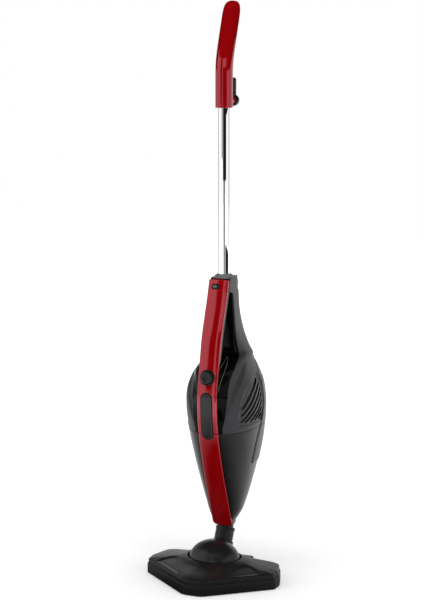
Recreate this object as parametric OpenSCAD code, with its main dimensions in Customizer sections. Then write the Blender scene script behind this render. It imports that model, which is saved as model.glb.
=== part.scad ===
// Upright corded vacuum cleaner: grip handle on a steel tube, motor housing with a loop grip,
// lift-off dust cup, swivelling neck and a pointed floor head.
// Millimetres, +Z up, the front faces -Y. The floor is at Z = 0.

/* [View] */
// Which piece to draw

/* [Handle and tube] */
// Outside diameter of the steel tube
tube_diameter = 24; // [20:0.5:28]
// Wall of the steel tube
tube_wall = 0.8; // [0.6:0.1:1.5]
// Height of the handle's lower end
handle_bottom = 946; // [880:1:980]
// Width of the handle across
handle_width = 33; // [28:0.5:40]
// Depth of the handle from front to back
handle_depth = 36; // [30:0.5:42]
// Wall of the handle's two shells
handle_wall = 2.4; // [1.8:0.1:3.5]
// How far the tube goes up into the handle
handle_socket = 52; // [30:1:70]

/* [Cord hook] */
// Height of the hook's pivot
hook_height = 959.5; // [940:0.5:980]
// Radius of the hook's round end
hook_radius = 11.5; // [9:0.5:15]
// Radius of the boss that carries the hook
hook_boss_radius = 8; // [6:0.5:10]
// Distance of the hook's near face behind the tube's axis
hook_near = 44; // [35:1:50]
// Thickness of the hook
hook_thickness = 9; // [6:0.5:12]
// Radius of the hook's pivot pin
hook_pin_radius = 3; // [2:0.5:4]

/* [Body] */
// Height of the body's top rim
body_top = 611; // [590:1:630]
// Height of the seam between housing and dust cup
seam_height = 307; // [290:1:320]
// Wall of the housing and the dust cup
shell_wall = 2.3; // [1.8:0.1:3]
// Half the width of the red front strip
strip_half = 21; // [17:0.5:25]
// How far the strip's crown stands out from its edges
strip_crown = 5; // [2:0.5:8]
// Wall of the strip
strip_wall = 2.2; // [1.6:0.1:3]
// Depth of the grip bar behind the strip's edges
grip_depth = 17; // [12:1:24]
// Depth of the tube's socket in the body
tube_socket = 26; // [20:1:40]

/* [Buttons] */
// Height of the power button's centre
power_height = 421; // [400:1:440]
// Radius of the power button
power_radius = 12.6; // [9:0.1:15]
// Outside radius of the bezel round it
bezel_radius = 16; // [13:0.5:19]
// Top and bottom of the cup release latch
latch_top = 391; // [370:1:400]
// Lower end of the latch
latch_bottom = 296; // [280:1:305]
// Width of the latch
latch_width = 23.4; // [16:0.2:30]
// Height of the tube lock button's centre
lock_height = 596; // [585:1:602]
// Width of the tube lock button
lock_width = 16; // [10:0.5:22]

/* [Motor and filter] */
// Distance of the motor's axis behind the tube's axis
motor_y = 14; // [5:1:25]
// Radius of the motor's can
motor_radius = 41; // [32:0.5:46]
// Height of the motor's can
motor_height = 58; // [40:1:70]
// Number of fan blades
fan_blades = 9; // [6:1:12]
// Radius of the fan
fan_radius = 40; // [30:0.5:44]
// Number of filter pleats
filter_pleats = 28; // [16:1:40]
// Radius of the pleated filter
filter_radius = 44; // [30:1:48]

/* [Neck and knuckle] */
// Lean of the neck from upright, in degrees
neck_lean = 30; // [20:1:40]
// Outside radius of the neck
neck_radius = 19; // [15:0.5:24]
// Outside radius of the dust cup's nozzle
nozzle_radius = 15.5; // [12:0.5:18]
// Radius of the knuckle seen from the side
knuckle_radius = 44; // [36:0.5:50]
// Half the width of the knuckle
knuckle_half = 54; // [44:0.5:60]

/* [Floor head] */
// Height of the lower bumper
bumper_height = 22; // [16:0.5:30]
// Wall of the bumper and the cover
head_wall = 2.6; // [2:0.1:4]
// Radius of the rear wheels
wheel_radius = 13; // [8:0.5:15]
// Width of the rear wheels
wheel_width = 13; // [8:0.5:18]

/* [Fits] */
// Radial clearance of a turning pin in its bore
running_fit = 0.05; // [0.01:0.01:0.1]
// Gap between neighbouring curved skins
skin_gap = 0.3; // [0.2:0.05:0.6]
// Gap round a moving button
button_gap = 0.4; // [0.2:0.05:0.8]

/* [Hidden] */
origin_back = 26;
round_fn = 64;
fine_fn = 32;
side_steps = 16;
cup_steps = 15;
liner_steps = 5;
tube_radius = tube_diameter / 2;

// Body sections: height, half width, front edge, rear, squareness, front flat
body_table = [
  [98, 19, -5.6, 35.5, 2.2, -5.3],
  [106, 20.5, -6.5, 41, 2.2, -6.3],
  [112, 24.5, -9.8, 43.5, 2.2, -9],
  [118, 28, -14.8, 45.5, 2.2, -11.8],
  [130, 34, -19.7, 50, 2.2, -16.7],
  [150, 39.5, -27.7, 64.5, 2.2, -24.7],
  [170, 44.5, -36, 76, 2.2, -33],
  [190, 49, -44.5, 87.5, 2.2, -41.5],
  [210, 53.3, -52.8, 98, 2.2, -49.8],
  [230, 57.5, -59.9, 105, 2.2, -56.9],
  [250, 61.3, -67, 111, 2.2, -64],
  [270, 65, -73, 116, 2.2, -70],
  [290, 68, -78.9, 118, 2.2, -75.9],
  [307, 70.5, -82.8, 118, 2.2, -79.8],
  [320, 72.3, -84.9, 116.5, 2.2, -81.9],
  [335, 73.6, -87.5, 115, 2.2, -84.5],
  [350, 74.6, -88.8, 113.5, 2.2, -85.8],
  [365, 74, -89.5, 112, 2.2, -86.5],
  [380, 72, -90.3, 111.5, 2.2, -87.3],
  [395, 69, -87.6, 110, 2.2, -84.6],
  [410, 62.5, -84.9, 107, 2.25, -81.9],
  [425, 55, -82.1, 103, 2.3, -79.1],
  [432, 50.5, -80, 101, 2.35, -77.4],
  [441, 44.5, -61, 99, 2.4, -60.2],
  [449, 40.5, -17, 94, 2.5, -18],
  [456, 36, 7, 87, 2.6, 6],
  [464, 32, 6, 84, 2.7, 5],
  [475, 28, 5, 79, 3, 4],
  [490, 25, 4, 70, 3.2, 3],
  [505, 23.4, 2.5, 61, 3.5, 1.5],
  [520, 22.6, 1, 52, 3.8, 0],
  [535, 22.3, -1, 44, 4, -2],
  [550, 22, -3, 39, 4.2, -4],
  [565, 22, -5.5, 36, 4.5, -6.5],
  [579, 21.8, -9, 35, 4.5, -10],
  [586, 21.5, -29, 34, 4.5, -30],
  [600, 21.2, -25, 32, 4.5, -26],
  [612, 21, -21, 31, 4.5, -22]
];
// Front strip: height and the line of its two edges
strip_table = [
  [90, -3], [98, -6.5], [102, -8.1], [122, -16.5], [158, -31], [206, -51.4], [252, -67.8], [270, -73.5],
  [297, -80.9], [320, -85.5], [339, -88.4], [360, -89.8], [380, -90.3], [395, -88.2], [422, -82.7],
  [457, -75.4], [495, -67], [532, -53.7], [570, -39], [585, -33.8], [608, -26.4], [616, -23.8]
];
// Line between the gloss liner and the matte side, along the side: height and distance
liner_table = [
  [300, -79], [314, -80.6], [326, -81.8], [338, -81.8], [350, -81.4], [365, -80.4], [376, -79.4], [388, -77.4], [400, -73.4], [412, -67.4], [420, -61.6],
  [428, -54.4], [434, -45.6], [440, -33.6], [446, -14], [450, 0], [456, 12], [475, 9.5], [505, 6.5], [535, 2.5], [565, -2], [579, -5],
  [586, -26.5], [600, -22.5], [612, -18.5]
];
// Front edge of the rear cover
rear_table = [[225, 6], [261, 8], [289, 13], [307, 20], [322, 25], [353, 30], [403, 32], [436, 38]];
// Centre line of the handle: height, distance back, lean
handle_path = [
  [handle_bottom, 0, 0, 1], [985, 0, 0, 1], [1016, 0.2, 3, 1], [1033, 2, 11, 1], [1049, 6.3, 18, 1],
  [1070, 14, 21, 1], [1096, 24.1, 21.5, 1], [1118, 32.9, 21.5, 1], [1131, 38, 21.5, 0.985],
  [1140, 41.6, 21.5, 0.93], [1147, 44.3, 21.5, 0.82], [1152, 46.3, 21.5, 0.66], [1155.5, 47.7, 21.5, 0.46]
];

function half_w(z) = lookup(z, [for (r = body_table) [r[0], r[1]]]);
function edge_y(z) = lookup(z, [for (r = body_table) [r[0], r[2]]]);
function back_y(z) = lookup(z, [for (r = body_table) [r[0], r[3]]]);
function square_n(z) = lookup(z, [for (r = body_table) [r[0], r[4]]]);
function flat_y(z) = lookup(z, [for (r = body_table) [r[0], r[5]]]);
function strip_y(z) = lookup(z, strip_table);
function liner_y(z) = lookup(z, liner_table);
function cover_y(z) = lookup(z, rear_table);
function spow(v, p) = sign(v) * pow(abs(v), p);
function levels(lo, hi) = concat([lo], [for (r = body_table) if (r[0] > lo + 2 && r[0] < hi - 2) r[0]], [hi]);

// A body section set in by t: half width, depth radius, centre and squareness
ledge_lift = 3;
function section(z, t) =
  let (zf = t > 0 ? z + ledge_lift : z,
       a = half_w(z) - t, n = square_n(z), w = min(strip_half + skin_gap + max(t, 0), a - 1.2),
       ye = (z > 425 && z < 460 ? edge_y(zf) : edge_y(z)) + t, yr = back_y(z) - t,
       s = pow(1 - pow(w / a, n), 1 / n), b = (yr - ye) / (1 + s))
  [a, b, yr - b, n, w, (z > 425 && z < 460 ? flat_y(zf) : flat_y(z)) + t];
function angle_at(c, y) = let (v = max(-1, min(1, (y - c[2]) / c[1]))) sign(v) * asin(pow(abs(v), c[3] / 2));
function point_at(c, th, z) = [c[0] * spow(cos(th), 2 / c[3]), c[2] + c[1] * spow(sin(th), 2 / c[3]), z];
// Points along the right side from the line y0 to the line y1
function side_arc(z, t, y0, y1, steps) =
  let (c = section(z, t), t0 = angle_at(c, y0), t1 = angle_at(c, y1))
  [for (k = [0:steps]) point_at(c, t0 + (t1 - t0) * k / steps, z)];
// Points from the front centre round to the line y1
function front_arc(z, t, y1, steps) =
  let (c = section(z, t), t0 = -acos(pow(c[4] / c[0], c[3] / 2)), t1 = angle_at(c, y1))
  concat([[0, c[5], z], [c[4], c[5], z]], [for (k = [0:steps]) point_at(c, t0 + (t1 - t0) * k / steps, z)]);
function flip(points) = [for (k = [len(points) - 1:-1:0]) [-points[k][0], points[k][1], points[k][2]]];
function both_front(h) = concat([for (p = flip(h)) p], [for (k = [1:len(h) - 1]) h[k]]);
function both_back(h) = concat(h, [for (k = [1:len(h) - 1]) flip(h)[k]]);
function whole(h) = concat(h, [for (k = [1:len(h) - 2]) flip(h)[k]]);
function flatten(rings) = [for (r = rings) each r];

// Closed solid between two matched strips of points, one pair a level
module skin(outer, inner) {
  n = len(outer); m = len(outer[0]); q = n * m;
  polyhedron(points = concat(flatten(outer), flatten(inner)), faces = concat(
    [for (i = [0:n - 2], j = [0:m - 2]) each [[i * m + j, (i + 1) * m + j, (i + 1) * m + j + 1], [i * m + j, (i + 1) * m + j + 1, i * m + j + 1],
      [q + i * m + j, q + (i + 1) * m + j + 1, q + (i + 1) * m + j], [q + i * m + j, q + i * m + j + 1, q + (i + 1) * m + j + 1]]],
    [for (i = [0:n - 2]) each [[i * m, q + i * m, q + (i + 1) * m], [i * m, q + (i + 1) * m, (i + 1) * m],
      [i * m + m - 1, q + (i + 1) * m + m - 1, q + i * m + m - 1], [i * m + m - 1, (i + 1) * m + m - 1, q + (i + 1) * m + m - 1]]],
    [for (j = [0:m - 2]) each [[j, j + 1, q + j + 1], [j, q + j + 1, q + j],
      [q - m + j, 2 * q - m + j + 1, q - m + j + 1], [q - m + j, 2 * q - m + j, 2 * q - m + j + 1]]]
  ), convexity = 6);
}
// The same for closed rings of points
module ring_skin(outer, inner) {
  n = len(outer); m = len(outer[0]); q = n * m;
  polyhedron(points = concat(flatten(outer), flatten(inner)), faces = concat(
    [for (i = [0:n - 2], j = [0:m - 1]) let (k = (j + 1) % m) each [[i * m + j, (i + 1) * m + j, (i + 1) * m + k], [i * m + j, (i + 1) * m + k, i * m + k],
      [q + i * m + j, q + (i + 1) * m + k, q + (i + 1) * m + j], [q + i * m + j, q + i * m + k, q + (i + 1) * m + k]]],
    [for (j = [0:m - 1]) let (k = (j + 1) % m) each [[j, k, q + k], [j, q + k, q + j],
      [q - m + j, 2 * q - m + k, q - m + k], [q - m + j, 2 * q - m + j, 2 * q - m + k]]]
  ), convexity = 6);
}
// Cup: stacked outer rings, closed below, with its own inner rings
module vessel(outer, inner) {
  n = len(outer); v = len(inner); m = len(outer[0]); q = n * m; t = q + v * m;
  polyhedron(points = concat(flatten(outer), flatten(inner)), faces = concat(
    [for (i = [0:n - 2], j = [0:m - 1]) let (k = (j + 1) % m) each [[i * m + j, (i + 1) * m + j, (i + 1) * m + k], [i * m + j, (i + 1) * m + k, i * m + k]]],
    [for (i = [0:v - 2], j = [0:m - 1]) let (k = (j + 1) % m) each [[q + i * m + j, q + (i + 1) * m + k, q + (i + 1) * m + j], [q + i * m + j, q + i * m + k, q + (i + 1) * m + k]]],
    [for (j = [0:m - 1]) let (k = (j + 1) % m) each [[q - m + j, t - m + k, q - m + k], [q - m + j, t - m + j, t - m + k]]],
    [[for (j = [0:m - 1]) j], [for (j = [m - 1:-1:0]) q + j]]
  ), convexity = 6);
}
module along_x(x0, x1) translate([x0, 0, 0]) rotate([90, 0, 90]) linear_extrude(x1 - x0) children();
module rod_x(x0, x1, r, fn = round_fn) translate([x0, 0, 0]) rotate([0, 90, 0]) cylinder(h = x1 - x0, r = r, $fn = fn);
module rod_y(y0, y1, r, fn = round_fn) translate([0, y0, 0]) rotate([-90, 0, 0]) cylinder(h = y1 - y0, r = r, $fn = fn);
module rod_z(z0, z1, r, fn = round_fn) translate([0, 0, z0]) cylinder(h = z1 - z0, r = r, $fn = fn);
module pipe_z(z0, z1, r, ri, fn = round_fn) difference() { rod_z(z0, z1, r, fn); rod_z(z0 - 1, z1 + 1, ri, fn); }
module slab(lo, hi) translate(lo) cube([hi[0] - lo[0], hi[1] - lo[1], hi[2] - lo[2]]);
module pair() { children(); mirror([1, 0, 0]) children(); }

// ---------- handle ----------
handle_n = 2.5;
handle_steps = 12;
function handle_ring(s, t, a0, a1) = [for (k = [0:handle_steps])
  let (th = a0 + (a1 - a0) * k / handle_steps,
       x = (handle_width / 2 * s[3] - t) * spow(cos(th), 2 / handle_n),
       d = (handle_depth / 2 * s[3] - t) * spow(sin(th), 2 / handle_n) + (1 - s[3]) * handle_depth * 0.4)
  [x, s[1] + d * cos(s[2]), s[0] - d * sin(s[2])]];
module handle_half(a0, a1) {
  last = len(handle_path) - 1;
  skin([for (s = handle_path) handle_ring(s, 0, a0, a1)],
       [for (i = [0:last]) let (s = handle_path[i], g = i > 7 ? (i - 7) * 0.9 : 0)
         handle_ring([s[0] - g, s[1] - g * 0.4, s[2], s[3]], i == last ? handle_wall * 1.6 : handle_wall + (i > 8 ? 0.5 : 0), a0, a1)]);
}
boss_levels = [1075, 1108];
screw_radius = 1.6;
screw_bite = 10;
function handle_back(z) = lookup(z, [for (s = handle_path) [s[0], s[1]]]);
module at_boss(z) translate([0, handle_back(z), z]) rotate([-21.5, 0, 0]) children();
handle_split = 0.05;
module at_hook() translate([0, handle_back(hook_height), hook_height]) children();
module handle_front() color([0.55, 0.01, 0.02]) union() {
  handle_half(180 + handle_split, 360 - handle_split);
  for (z = boss_levels) at_boss(z) rotate([90, 0, 0]) difference() {
    translate([0, 0, 0.2]) cylinder(h = handle_depth / 2 - 1.2, r = 4, $fn = fine_fn);
    cylinder(h = screw_bite, r = screw_radius, $fn = fine_fn);
  }
}
module handle_rear() color([0.55, 0.01, 0.02]) difference() {
  union() {
    handle_half(handle_split, 180 - handle_split);
    for (z = boss_levels) at_boss(z) rotate([-90, 0, 0]) cylinder(h = handle_depth / 2 - 1.2, r = 5, $fn = fine_fn);
    at_hook() rod_y(handle_depth / 2 - 1.5, hook_near - skin_gap, hook_boss_radius);
  }
  for (z = boss_levels) at_boss(z) {
    rotate([-90, 0, 0]) translate([0, 0, 6]) cylinder(h = handle_depth, r = 3.6, $fn = fine_fn);
    rotate([-90, 0, 0]) translate([0, 0, -1]) cylinder(h = handle_depth, r = 1.7, $fn = fine_fn);
  }
  at_hook() rod_y(handle_depth / 2 + 2, hook_near + 1, hook_pin_radius);
}
module handle_screws() color([0.6, 0.6, 0.62]) for (z = boss_levels) at_boss(z) rotate([-90, 0, 0]) {
  translate([0, 0, 0.4 - screw_bite]) cylinder(h = screw_bite + 5.9, r = screw_radius, $fn = fine_fn);
  translate([0, 0, 6]) cylinder(h = 2.4, r = 3.2, $fn = fine_fn);
}
module handle_bush() color([0.2, 0.2, 0.2]) pipe_z(handle_bottom + 2, handle_bottom + handle_socket, tube_radius + 1.9, tube_radius);
module chrome_tube() color([0.85, 0.85, 0.87]) pipe_z(body_top - tube_socket + 2, handle_bottom + handle_socket, tube_radius, tube_radius - tube_wall);
module cord_hook() color([0.05, 0.05, 0.05]) at_hook() difference() {
  union() {
    rod_y(hook_near, hook_near + hook_thickness, hook_radius);
    slab([-5, hook_near, 0], [5, hook_near + hook_thickness - 1.6, 40]);
    translate([0, 0, 40]) rod_y(hook_near, hook_near + hook_thickness - 1.6, 5, fine_fn);
  }
  rod_y(hook_near - 2, hook_near + hook_thickness + 2, hook_pin_radius + running_fit);
  rod_y(hook_near + hook_thickness - 2.4, hook_near + hook_thickness + 2, hook_pin_radius + 3.2);
}
module hook_pin() color([0.6, 0.6, 0.62]) at_hook() union() {
  rod_y(handle_depth / 2 + 3, hook_near + hook_thickness - 0.6, hook_pin_radius);
  rod_y(hook_near + hook_thickness - 2.1, hook_near + hook_thickness - 0.4, hook_pin_radius + 2.6);
}

// ---------- red strip and grip bar ----------
crown_steps = 10;
flange = 2.7;
function strip_ring(z, t) = let (y = strip_y(z), w = strip_half - t, h = strip_crown - t)
  concat([[-w, y + flange, z]], [for (k = [0:crown_steps]) let (th = 180 - 180 * k / crown_steps) [w * cos(th), y + t * 0.35 - max(h, 0.3) * pow(sin(th), 0.75), z]], [[w, y + flange, z]]);
function strip_levels(lo, hi) = concat([lo], [for (r = strip_table) if (r[0] > lo + 2 && r[0] < hi - 2) r[0]], [hi]);
module strip_skin(lo, hi) skin([for (z = strip_levels(lo, hi)) strip_ring(z, 0)], [for (z = strip_levels(lo, hi)) strip_ring(z, strip_wall)]);
function strip_slope(z) = (strip_y(z + 8) - strip_y(z - 8)) / 16;
module at_strip(z, out = 0) translate([0, strip_y(z) - strip_crown, z]) rotate([90 - atan(strip_slope(z)), 0, 0]) translate([0, 0, out]) children();
module stadium(w, lo, hi) {
  translate([0, lo + w / 2]) circle(r = w / 2, $fn = round_fn);
  translate([0, hi - w / 2]) circle(r = w / 2, $fn = round_fn);
  translate([-w / 2, lo + w / 2]) square([w, hi - lo - w]);
}
module latch_prism(grow, y0, y1) translate([0, y1, 0]) rotate([90, 0, 0]) linear_extrude(y1 - y0) stadium(latch_width + 2 * grow, latch_bottom - grow, latch_top + grow);
module lock_prism(grow, y0, y1) at_strip(lock_height) translate([0, 0, y0]) linear_extrude(y1 - y0)
  rotate(-90) stadium(9 + 2 * grow, -lock_width / 2 - grow, lock_width / 2 + grow);
module front_strip() color([0.55, 0.01, 0.02]) difference() {
  strip_skin(seam_height + 0.6, body_top - 3);
  at_strip(power_height, -12) cylinder(h = 30, r = bezel_radius - 1.8, $fn = round_fn);
  latch_prism(button_gap, -130, -60);
  lock_prism(button_gap + 0.5, -12, 12);
}
module cup_strip() color([0.5, 0.01, 0.03]) difference() {
  strip_skin(99, seam_height - 0.4);
  latch_prism(button_gap, -130, -60);
  for (s = [-1, 1]) translate([s * strip_half, -30, 98]) rotate([0, s * 58, 0]) slab([-5, -5, -5], [5, 50, 5]);
}
bar_steps = 8;
function bar_ring(z, t, k0, dz) = let (y = strip_y(z) + flange + skin_gap, w = strip_half - t, d = grip_depth - flange - skin_gap - t)
  concat([[w, y, z]], [for (k = [0:bar_steps]) let (th = 180 * k / bar_steps, yy = d * (0.35 + 0.65 * pow(sin(th), 0.55))) [w * spow(cos(th), 0.55), y + (k == 0 || k == bar_steps ? d * 0.35 : yy), z + dz * ((k == 0 || k == bar_steps ? d * 0.35 : yy)) / grip_depth]], [[-w, y, z]]);
bar_levels = [[432.6, 8.2], [446, 4], [457, 0], [476, 0], [495, 0], [514, 0], [532, 0], [551, 0], [570, 0], [585.6, -8]];
module grip_bar() color([0.04, 0.04, 0.04]) skin([for (l = bar_levels) bar_ring(l[0], 0, 0, l[1])], [for (l = bar_levels) bar_ring(l[0], strip_wall, 0, l[1])]);

// ---------- housing ----------
housing_levels = levels(seam_height + 0.6, body_top);
liner_gap = 0.15;
housing_bosses = [[76, 330, 2.4], [74, 398, 2.4], [-62, 336, 3.4], [34, 502, 0.4], [16, 566, 0.3]];
module side_half() skin([for (z = housing_levels) side_arc(z, 0, liner_y(z) + liner_gap, back_y(z), side_steps)],
                        [for (z = housing_levels) side_arc(z, shell_wall, liner_y(z) + liner_gap, back_y(z) - shell_wall, side_steps)]);
// Exhaust slots: points of each slot's centre line, as distance and height above the seam
vent_top = 405;
vent_rise = 98;
slot_lines = [
  [[15, 98], [-1, 89], [-17, 79], [-37, 62], [-52, 47]],
  [[20, 89], [8, 81], [-7, 71], [-31, 51], [-53, 33]],
  [[23, 79], [11, 69], [-3, 59], [-29, 38], [-52, 20]],
  [[24, 67], [13, 57], [1, 47], [-21, 31], [-42, 18]],
  [[24, 53], [13, 42], [2, 33], [-13, 24], [-26, 17]],
  [[23, 39], [16, 33], [9, 27.5], [0, 22], [-9, 17]],
  [[22, 26], [18, 23.5], [14, 21], [11, 19], [8, 17]]
];
slot_width = 4.6;
module slot_shape(l) {
  up = [for (k = [0:4]) let (a = l[max(0, k - 1)], b = l[min(4, k + 1)], d = (b - a) / norm(b - a), w = slot_width / 2 * (k == 0 || k == 4 ? 0.55 : 1)) l[k] + [d[1], -d[0]] * w];
  dn = [for (k = [4:-1:0]) let (a = l[max(0, k - 1)], b = l[min(4, k + 1)], d = (b - a) / norm(b - a), w = slot_width / 2 * (k == 0 || k == 4 ? 0.55 : 1)) l[k] - [d[1], -d[0]] * w];
  polygon(concat(up, dn));
}
module slots() for (l = slot_lines) along_x(40, 90) translate([0, seam_height]) scale([1, (vent_top - seam_height) / vent_rise]) slot_shape(l);
outlet_drop = 16;
outlet_height = body_top - outlet_drop;
outlet_radius = 7;
module half_shell() difference() {
  side_half();
  slots();
  translate([0, 0, outlet_height]) rod_y(gland_y - 12, gland_y + 12, outlet_radius);
}
module housing_right() color([0.3, 0.3, 0.31]) half_shell();
module housing_left() color([0.3, 0.3, 0.31]) mirror([1, 0, 0]) half_shell();
liner_levels = levels(seam_height + 0.6, body_top - 1);
module grip_liner() color([0.03, 0.03, 0.03]) difference() {
  skin([for (z = liner_levels) both_front(front_arc(z, 0, liner_y(z) - liner_gap, liner_steps))],
       [for (z = liner_levels) both_front(front_arc(z, shell_wall, liner_y(z) - liner_gap, liner_steps))]);
  at_strip(power_height, -60) cylinder(h = 60, r = 9, $fn = round_fn);
  lock_prism(1, -40, 12);
  translate([0, 0, lock_height]) rod_y(-40, -10, 3.5, fine_fn);
}
latch_pin_radius = 1.3;
latch_under = 2.6;
latch_pivot = (latch_top + latch_bottom) / 2;
function latch_rear(z) = strip_y(z) - strip_crown + latch_under;
latch_rod_y = latch_rear(latch_pivot) + 2.5;
latch_ear = 3;
module latch_ears() color([0.03, 0.03, 0.03]) difference() {
  pair() slab([7.8, latch_rear(latch_pivot) + skin_gap, latch_pivot - latch_ear], [9.8, flat_y(latch_pivot + latch_ear) - 0.05, latch_pivot + latch_ear]);
  translate([0, latch_rod_y, latch_pivot]) rod_x(-12, 12, latch_pin_radius + running_fit, fine_fn);
}
cover_lift = 1.8;
cover_under = 0.5;
cover_steps = 13;
module rear_band(lo, hi) {
  zs = concat([lo], [for (r = body_table) if (r[0] > lo + 2 && r[0] < hi - 2) r[0]], [hi]);
  skin([for (z = zs) both_back(side_arc(z, -cover_lift, cover_y(z), back_y(z) + cover_lift, cover_steps))],
       [for (z = zs) both_back(side_arc(z, -cover_under, cover_y(z), back_y(z) + cover_under, cover_steps))]);
}
cover_top = 432;
cup_cover_low = 230;
module rear_cover() color([0.06, 0.06, 0.06]) rear_band(seam_height + 0.6, cover_top);
module cup_rear_cover() color([0.06, 0.06, 0.06]) rear_band(cup_cover_low, seam_height - 0.4);
gland_out = 1.186;
gland_y = back_y(outlet_height) + gland_out;
cord_bore = 3.6;
module cord_outlet() color([0.05, 0.05, 0.05]) difference() {
  translate([0, 0, outlet_height]) union() {
    slab([-14, gland_y + 0.3, -7.5], [14, gland_y + 8, 7.5]);
    rod_y(gland_y - 6, gland_y + 10, outlet_radius - 0.15);
  }
  translate([0, 0, outlet_height]) rod_y(gland_y - 8, gland_y + 12, cord_bore);
}
collar_rise = 5.5;
module tube_collar() color([0.55, 0.55, 0.56]) difference() {
  union() {
    rod_z(body_top - tube_socket, body_top, tube_radius + 2.8);
    translate([0, 0, body_top + 0.4]) cylinder(h = collar_rise, r1 = strip_half - 1, r2 = tube_radius + 2.4, $fn = round_fn);
    translate([0, 0, body_top - 6]) linear_extrude(6.5) polygon([for (p = whole(front_arc(body_top, shell_wall + 0.2, back_y(body_top), 7))) [p[0], p[1]]]);
  }
  rod_z(body_top - tube_socket + 2, body_top + collar_rise + 2, tube_radius + running_fit);
  rod_z(body_top - tube_socket - 1, body_top, tube_radius - 3);
  translate([0, 0, lock_height]) rod_y(-40, 0, 3.5, fine_fn);
}
module at_power(out = 0) at_strip(power_height, out) children();
switch_face = -18.8;
module power_bezel() color([0.05, 0.05, 0.05]) at_power() difference() {
  union() {
    translate([0, 0, -3.4]) cylinder(h = 5.4, r = bezel_radius - 2, $fn = round_fn);
    translate([0, 0, 0.2]) cylinder(h = 2.2, r = bezel_radius, $fn = round_fn);
    translate([0, 0, switch_face + 0.2]) cylinder(h = -switch_face - 3.2, r = 8.6, $fn = round_fn);
  }
  translate([0, 0, -2]) cylinder(h = 8, r = power_radius + button_gap, $fn = round_fn);
  translate([0, 0, switch_face - 1]) cylinder(h = 24, r = 5 + running_fit, $fn = round_fn);
}
module power_button() color([0.07, 0.07, 0.07]) at_power() union() {
  translate([0, 0, 0.8]) cylinder(h = 5, r = power_radius, $fn = round_fn);
  translate([0, 0, 5.8]) cylinder(h = 1.2, r1 = power_radius, r2 = power_radius - 1.2, $fn = round_fn);
  translate([0, 0, -15.5]) cylinder(h = 17, r = 5, $fn = round_fn);
}
module power_switch() color([0.8, 0.8, 0.78]) at_power() difference() {
  translate([-9, -11, switch_face - 15.2]) cube([18, 22, 15.2]);
  translate([0, 0, -22]) cylinder(h = 6, r = 4, $fn = fine_fn);
}
module latch_slab(out0, out1) along_x(-20, 20) {
  zs = [latch_bottom - 4, 305, 315, 325, 339, 350, 360, 370, 380, latch_top + 4];
  polygon(concat([for (z = zs) [strip_y(z) - strip_crown - out1, z]], [for (k = [len(zs) - 1:-1:0]) [strip_y(zs[k]) - strip_crown - out0, zs[k]]]));
}
hook_level = seam_height - 5;
module cup_latch() color([0.05, 0.05, 0.05]) union() {
  intersection() { latch_prism(0, -130, -60); latch_slab(-latch_under, 3.2); }
  translate([0, latch_rod_y, latch_pivot]) rod_x(-10.2, 10.2, latch_pin_radius, fine_fn);
  slab([-7, latch_rod_y - 3, latch_pivot - 1.6], [7, latch_rod_y, latch_pivot + 1.6]);
  slab([-5, latch_rear(hook_level) - 0.5, hook_level - 1], [5, flat_y(hook_level) + shell_wall - skin_gap, hook_level + 2.6]);
}
pad_level = latch_top - 16;
module latch_pad() color([0.1, 0.1, 0.1]) translate([0, 0, pad_level]) rod_y(latch_rear(pad_level) + 1.9, flat_y(pad_level + 4) - 0.05, 4, fine_fn);
module tube_lock() color([0.45, 0.45, 0.46]) union() {
  lock_prism(0, -3.5, 0.8);
  translate([0, 0, lock_height]) rod_y(-32, -tube_radius - 2.6, 2.6, fine_fn);
}

// ---------- motor, fan and filter, inside ----------
can_low = seam_height + 40;
function deck(z, t) = [for (p = whole(front_arc(z, t, back_y(z) - t, cup_steps))) [p[0], p[1]]];
module on_motor() translate([0, motor_y, 0]) children();
module motor_deck() color([0.2, 0.2, 0.2]) difference() {
  translate([0, 0, seam_height + 6]) linear_extrude(4) polygon(deck(seam_height + 6, shell_wall + 0.9));
  on_motor() rod_z(seam_height, seam_height + 20, 30);
}
module fan_shroud() color([0.7, 0.7, 0.72]) on_motor() difference() {
  rod_z(seam_height + 10.2, seam_height + 32, fan_radius + 4);
  rod_z(seam_height + 12.2, seam_height + 30, fan_radius + 2);
  rod_z(seam_height, seam_height + 40, 18);
}
module motor_can() color([0.65, 0.66, 0.68]) on_motor() difference() {
  union() {
    rod_z(can_low, can_low + motor_height, motor_radius);
    rod_z(can_low - 6, can_low, 19);
    rod_z(can_low + motor_height, can_low + motor_height + 8, 14);
  }
  rod_z(can_low + 4, can_low + motor_height - 4, motor_radius - 3);
  rod_z(can_low - 8, can_low + motor_height + 2, 4 + running_fit);
}
module rotor_core() color([0.5, 0.3, 0.15]) on_motor() union() {
  rod_z(seam_height + 14, can_low + motor_height + 1.5, 4);
  rod_z(can_low + 10, can_low + motor_height - 14, 24);
  rod_z(can_low + motor_height - 12, can_low + motor_height - 6, 13);
}
module fan_wheel() color([0.75, 0.75, 0.77]) on_motor() difference() {
  union() {
    rod_z(seam_height + 26, seam_height + 28, fan_radius);
    rod_z(seam_height + 15, seam_height + 28, 9);
    for (k = [0:fan_blades - 1]) rotate([0, 0, k * 360 / fan_blades]) translate([7, -1, seam_height + 15]) rotate([0, 0, 14]) cube([fan_radius - 10, 1.6, 11.5]);
  }
  rod_z(seam_height + 10, seam_height + 32, 4);
}
module motor_rubber() color([0.08, 0.08, 0.08]) on_motor() pipe_z(can_low + motor_height + 0.2, can_low + motor_height + 7, 22, 14);
module motor_cradle() color([0.2, 0.2, 0.2]) on_motor() pipe_z(seam_height + 32.2, can_low - 0.2, motor_radius + 3, 19.4);
module exhaust_foam() color([0.12, 0.12, 0.12]) pair() skin([for (z = [320, 335, 350, 365, 380, 395]) side_arc(z, shell_wall + 1.4, -50, 22, 8)],
  [for (z = [320, 335, 350, 365, 380, 395]) side_arc(z, shell_wall + 5.4, -50, 22, 8)]);
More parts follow.
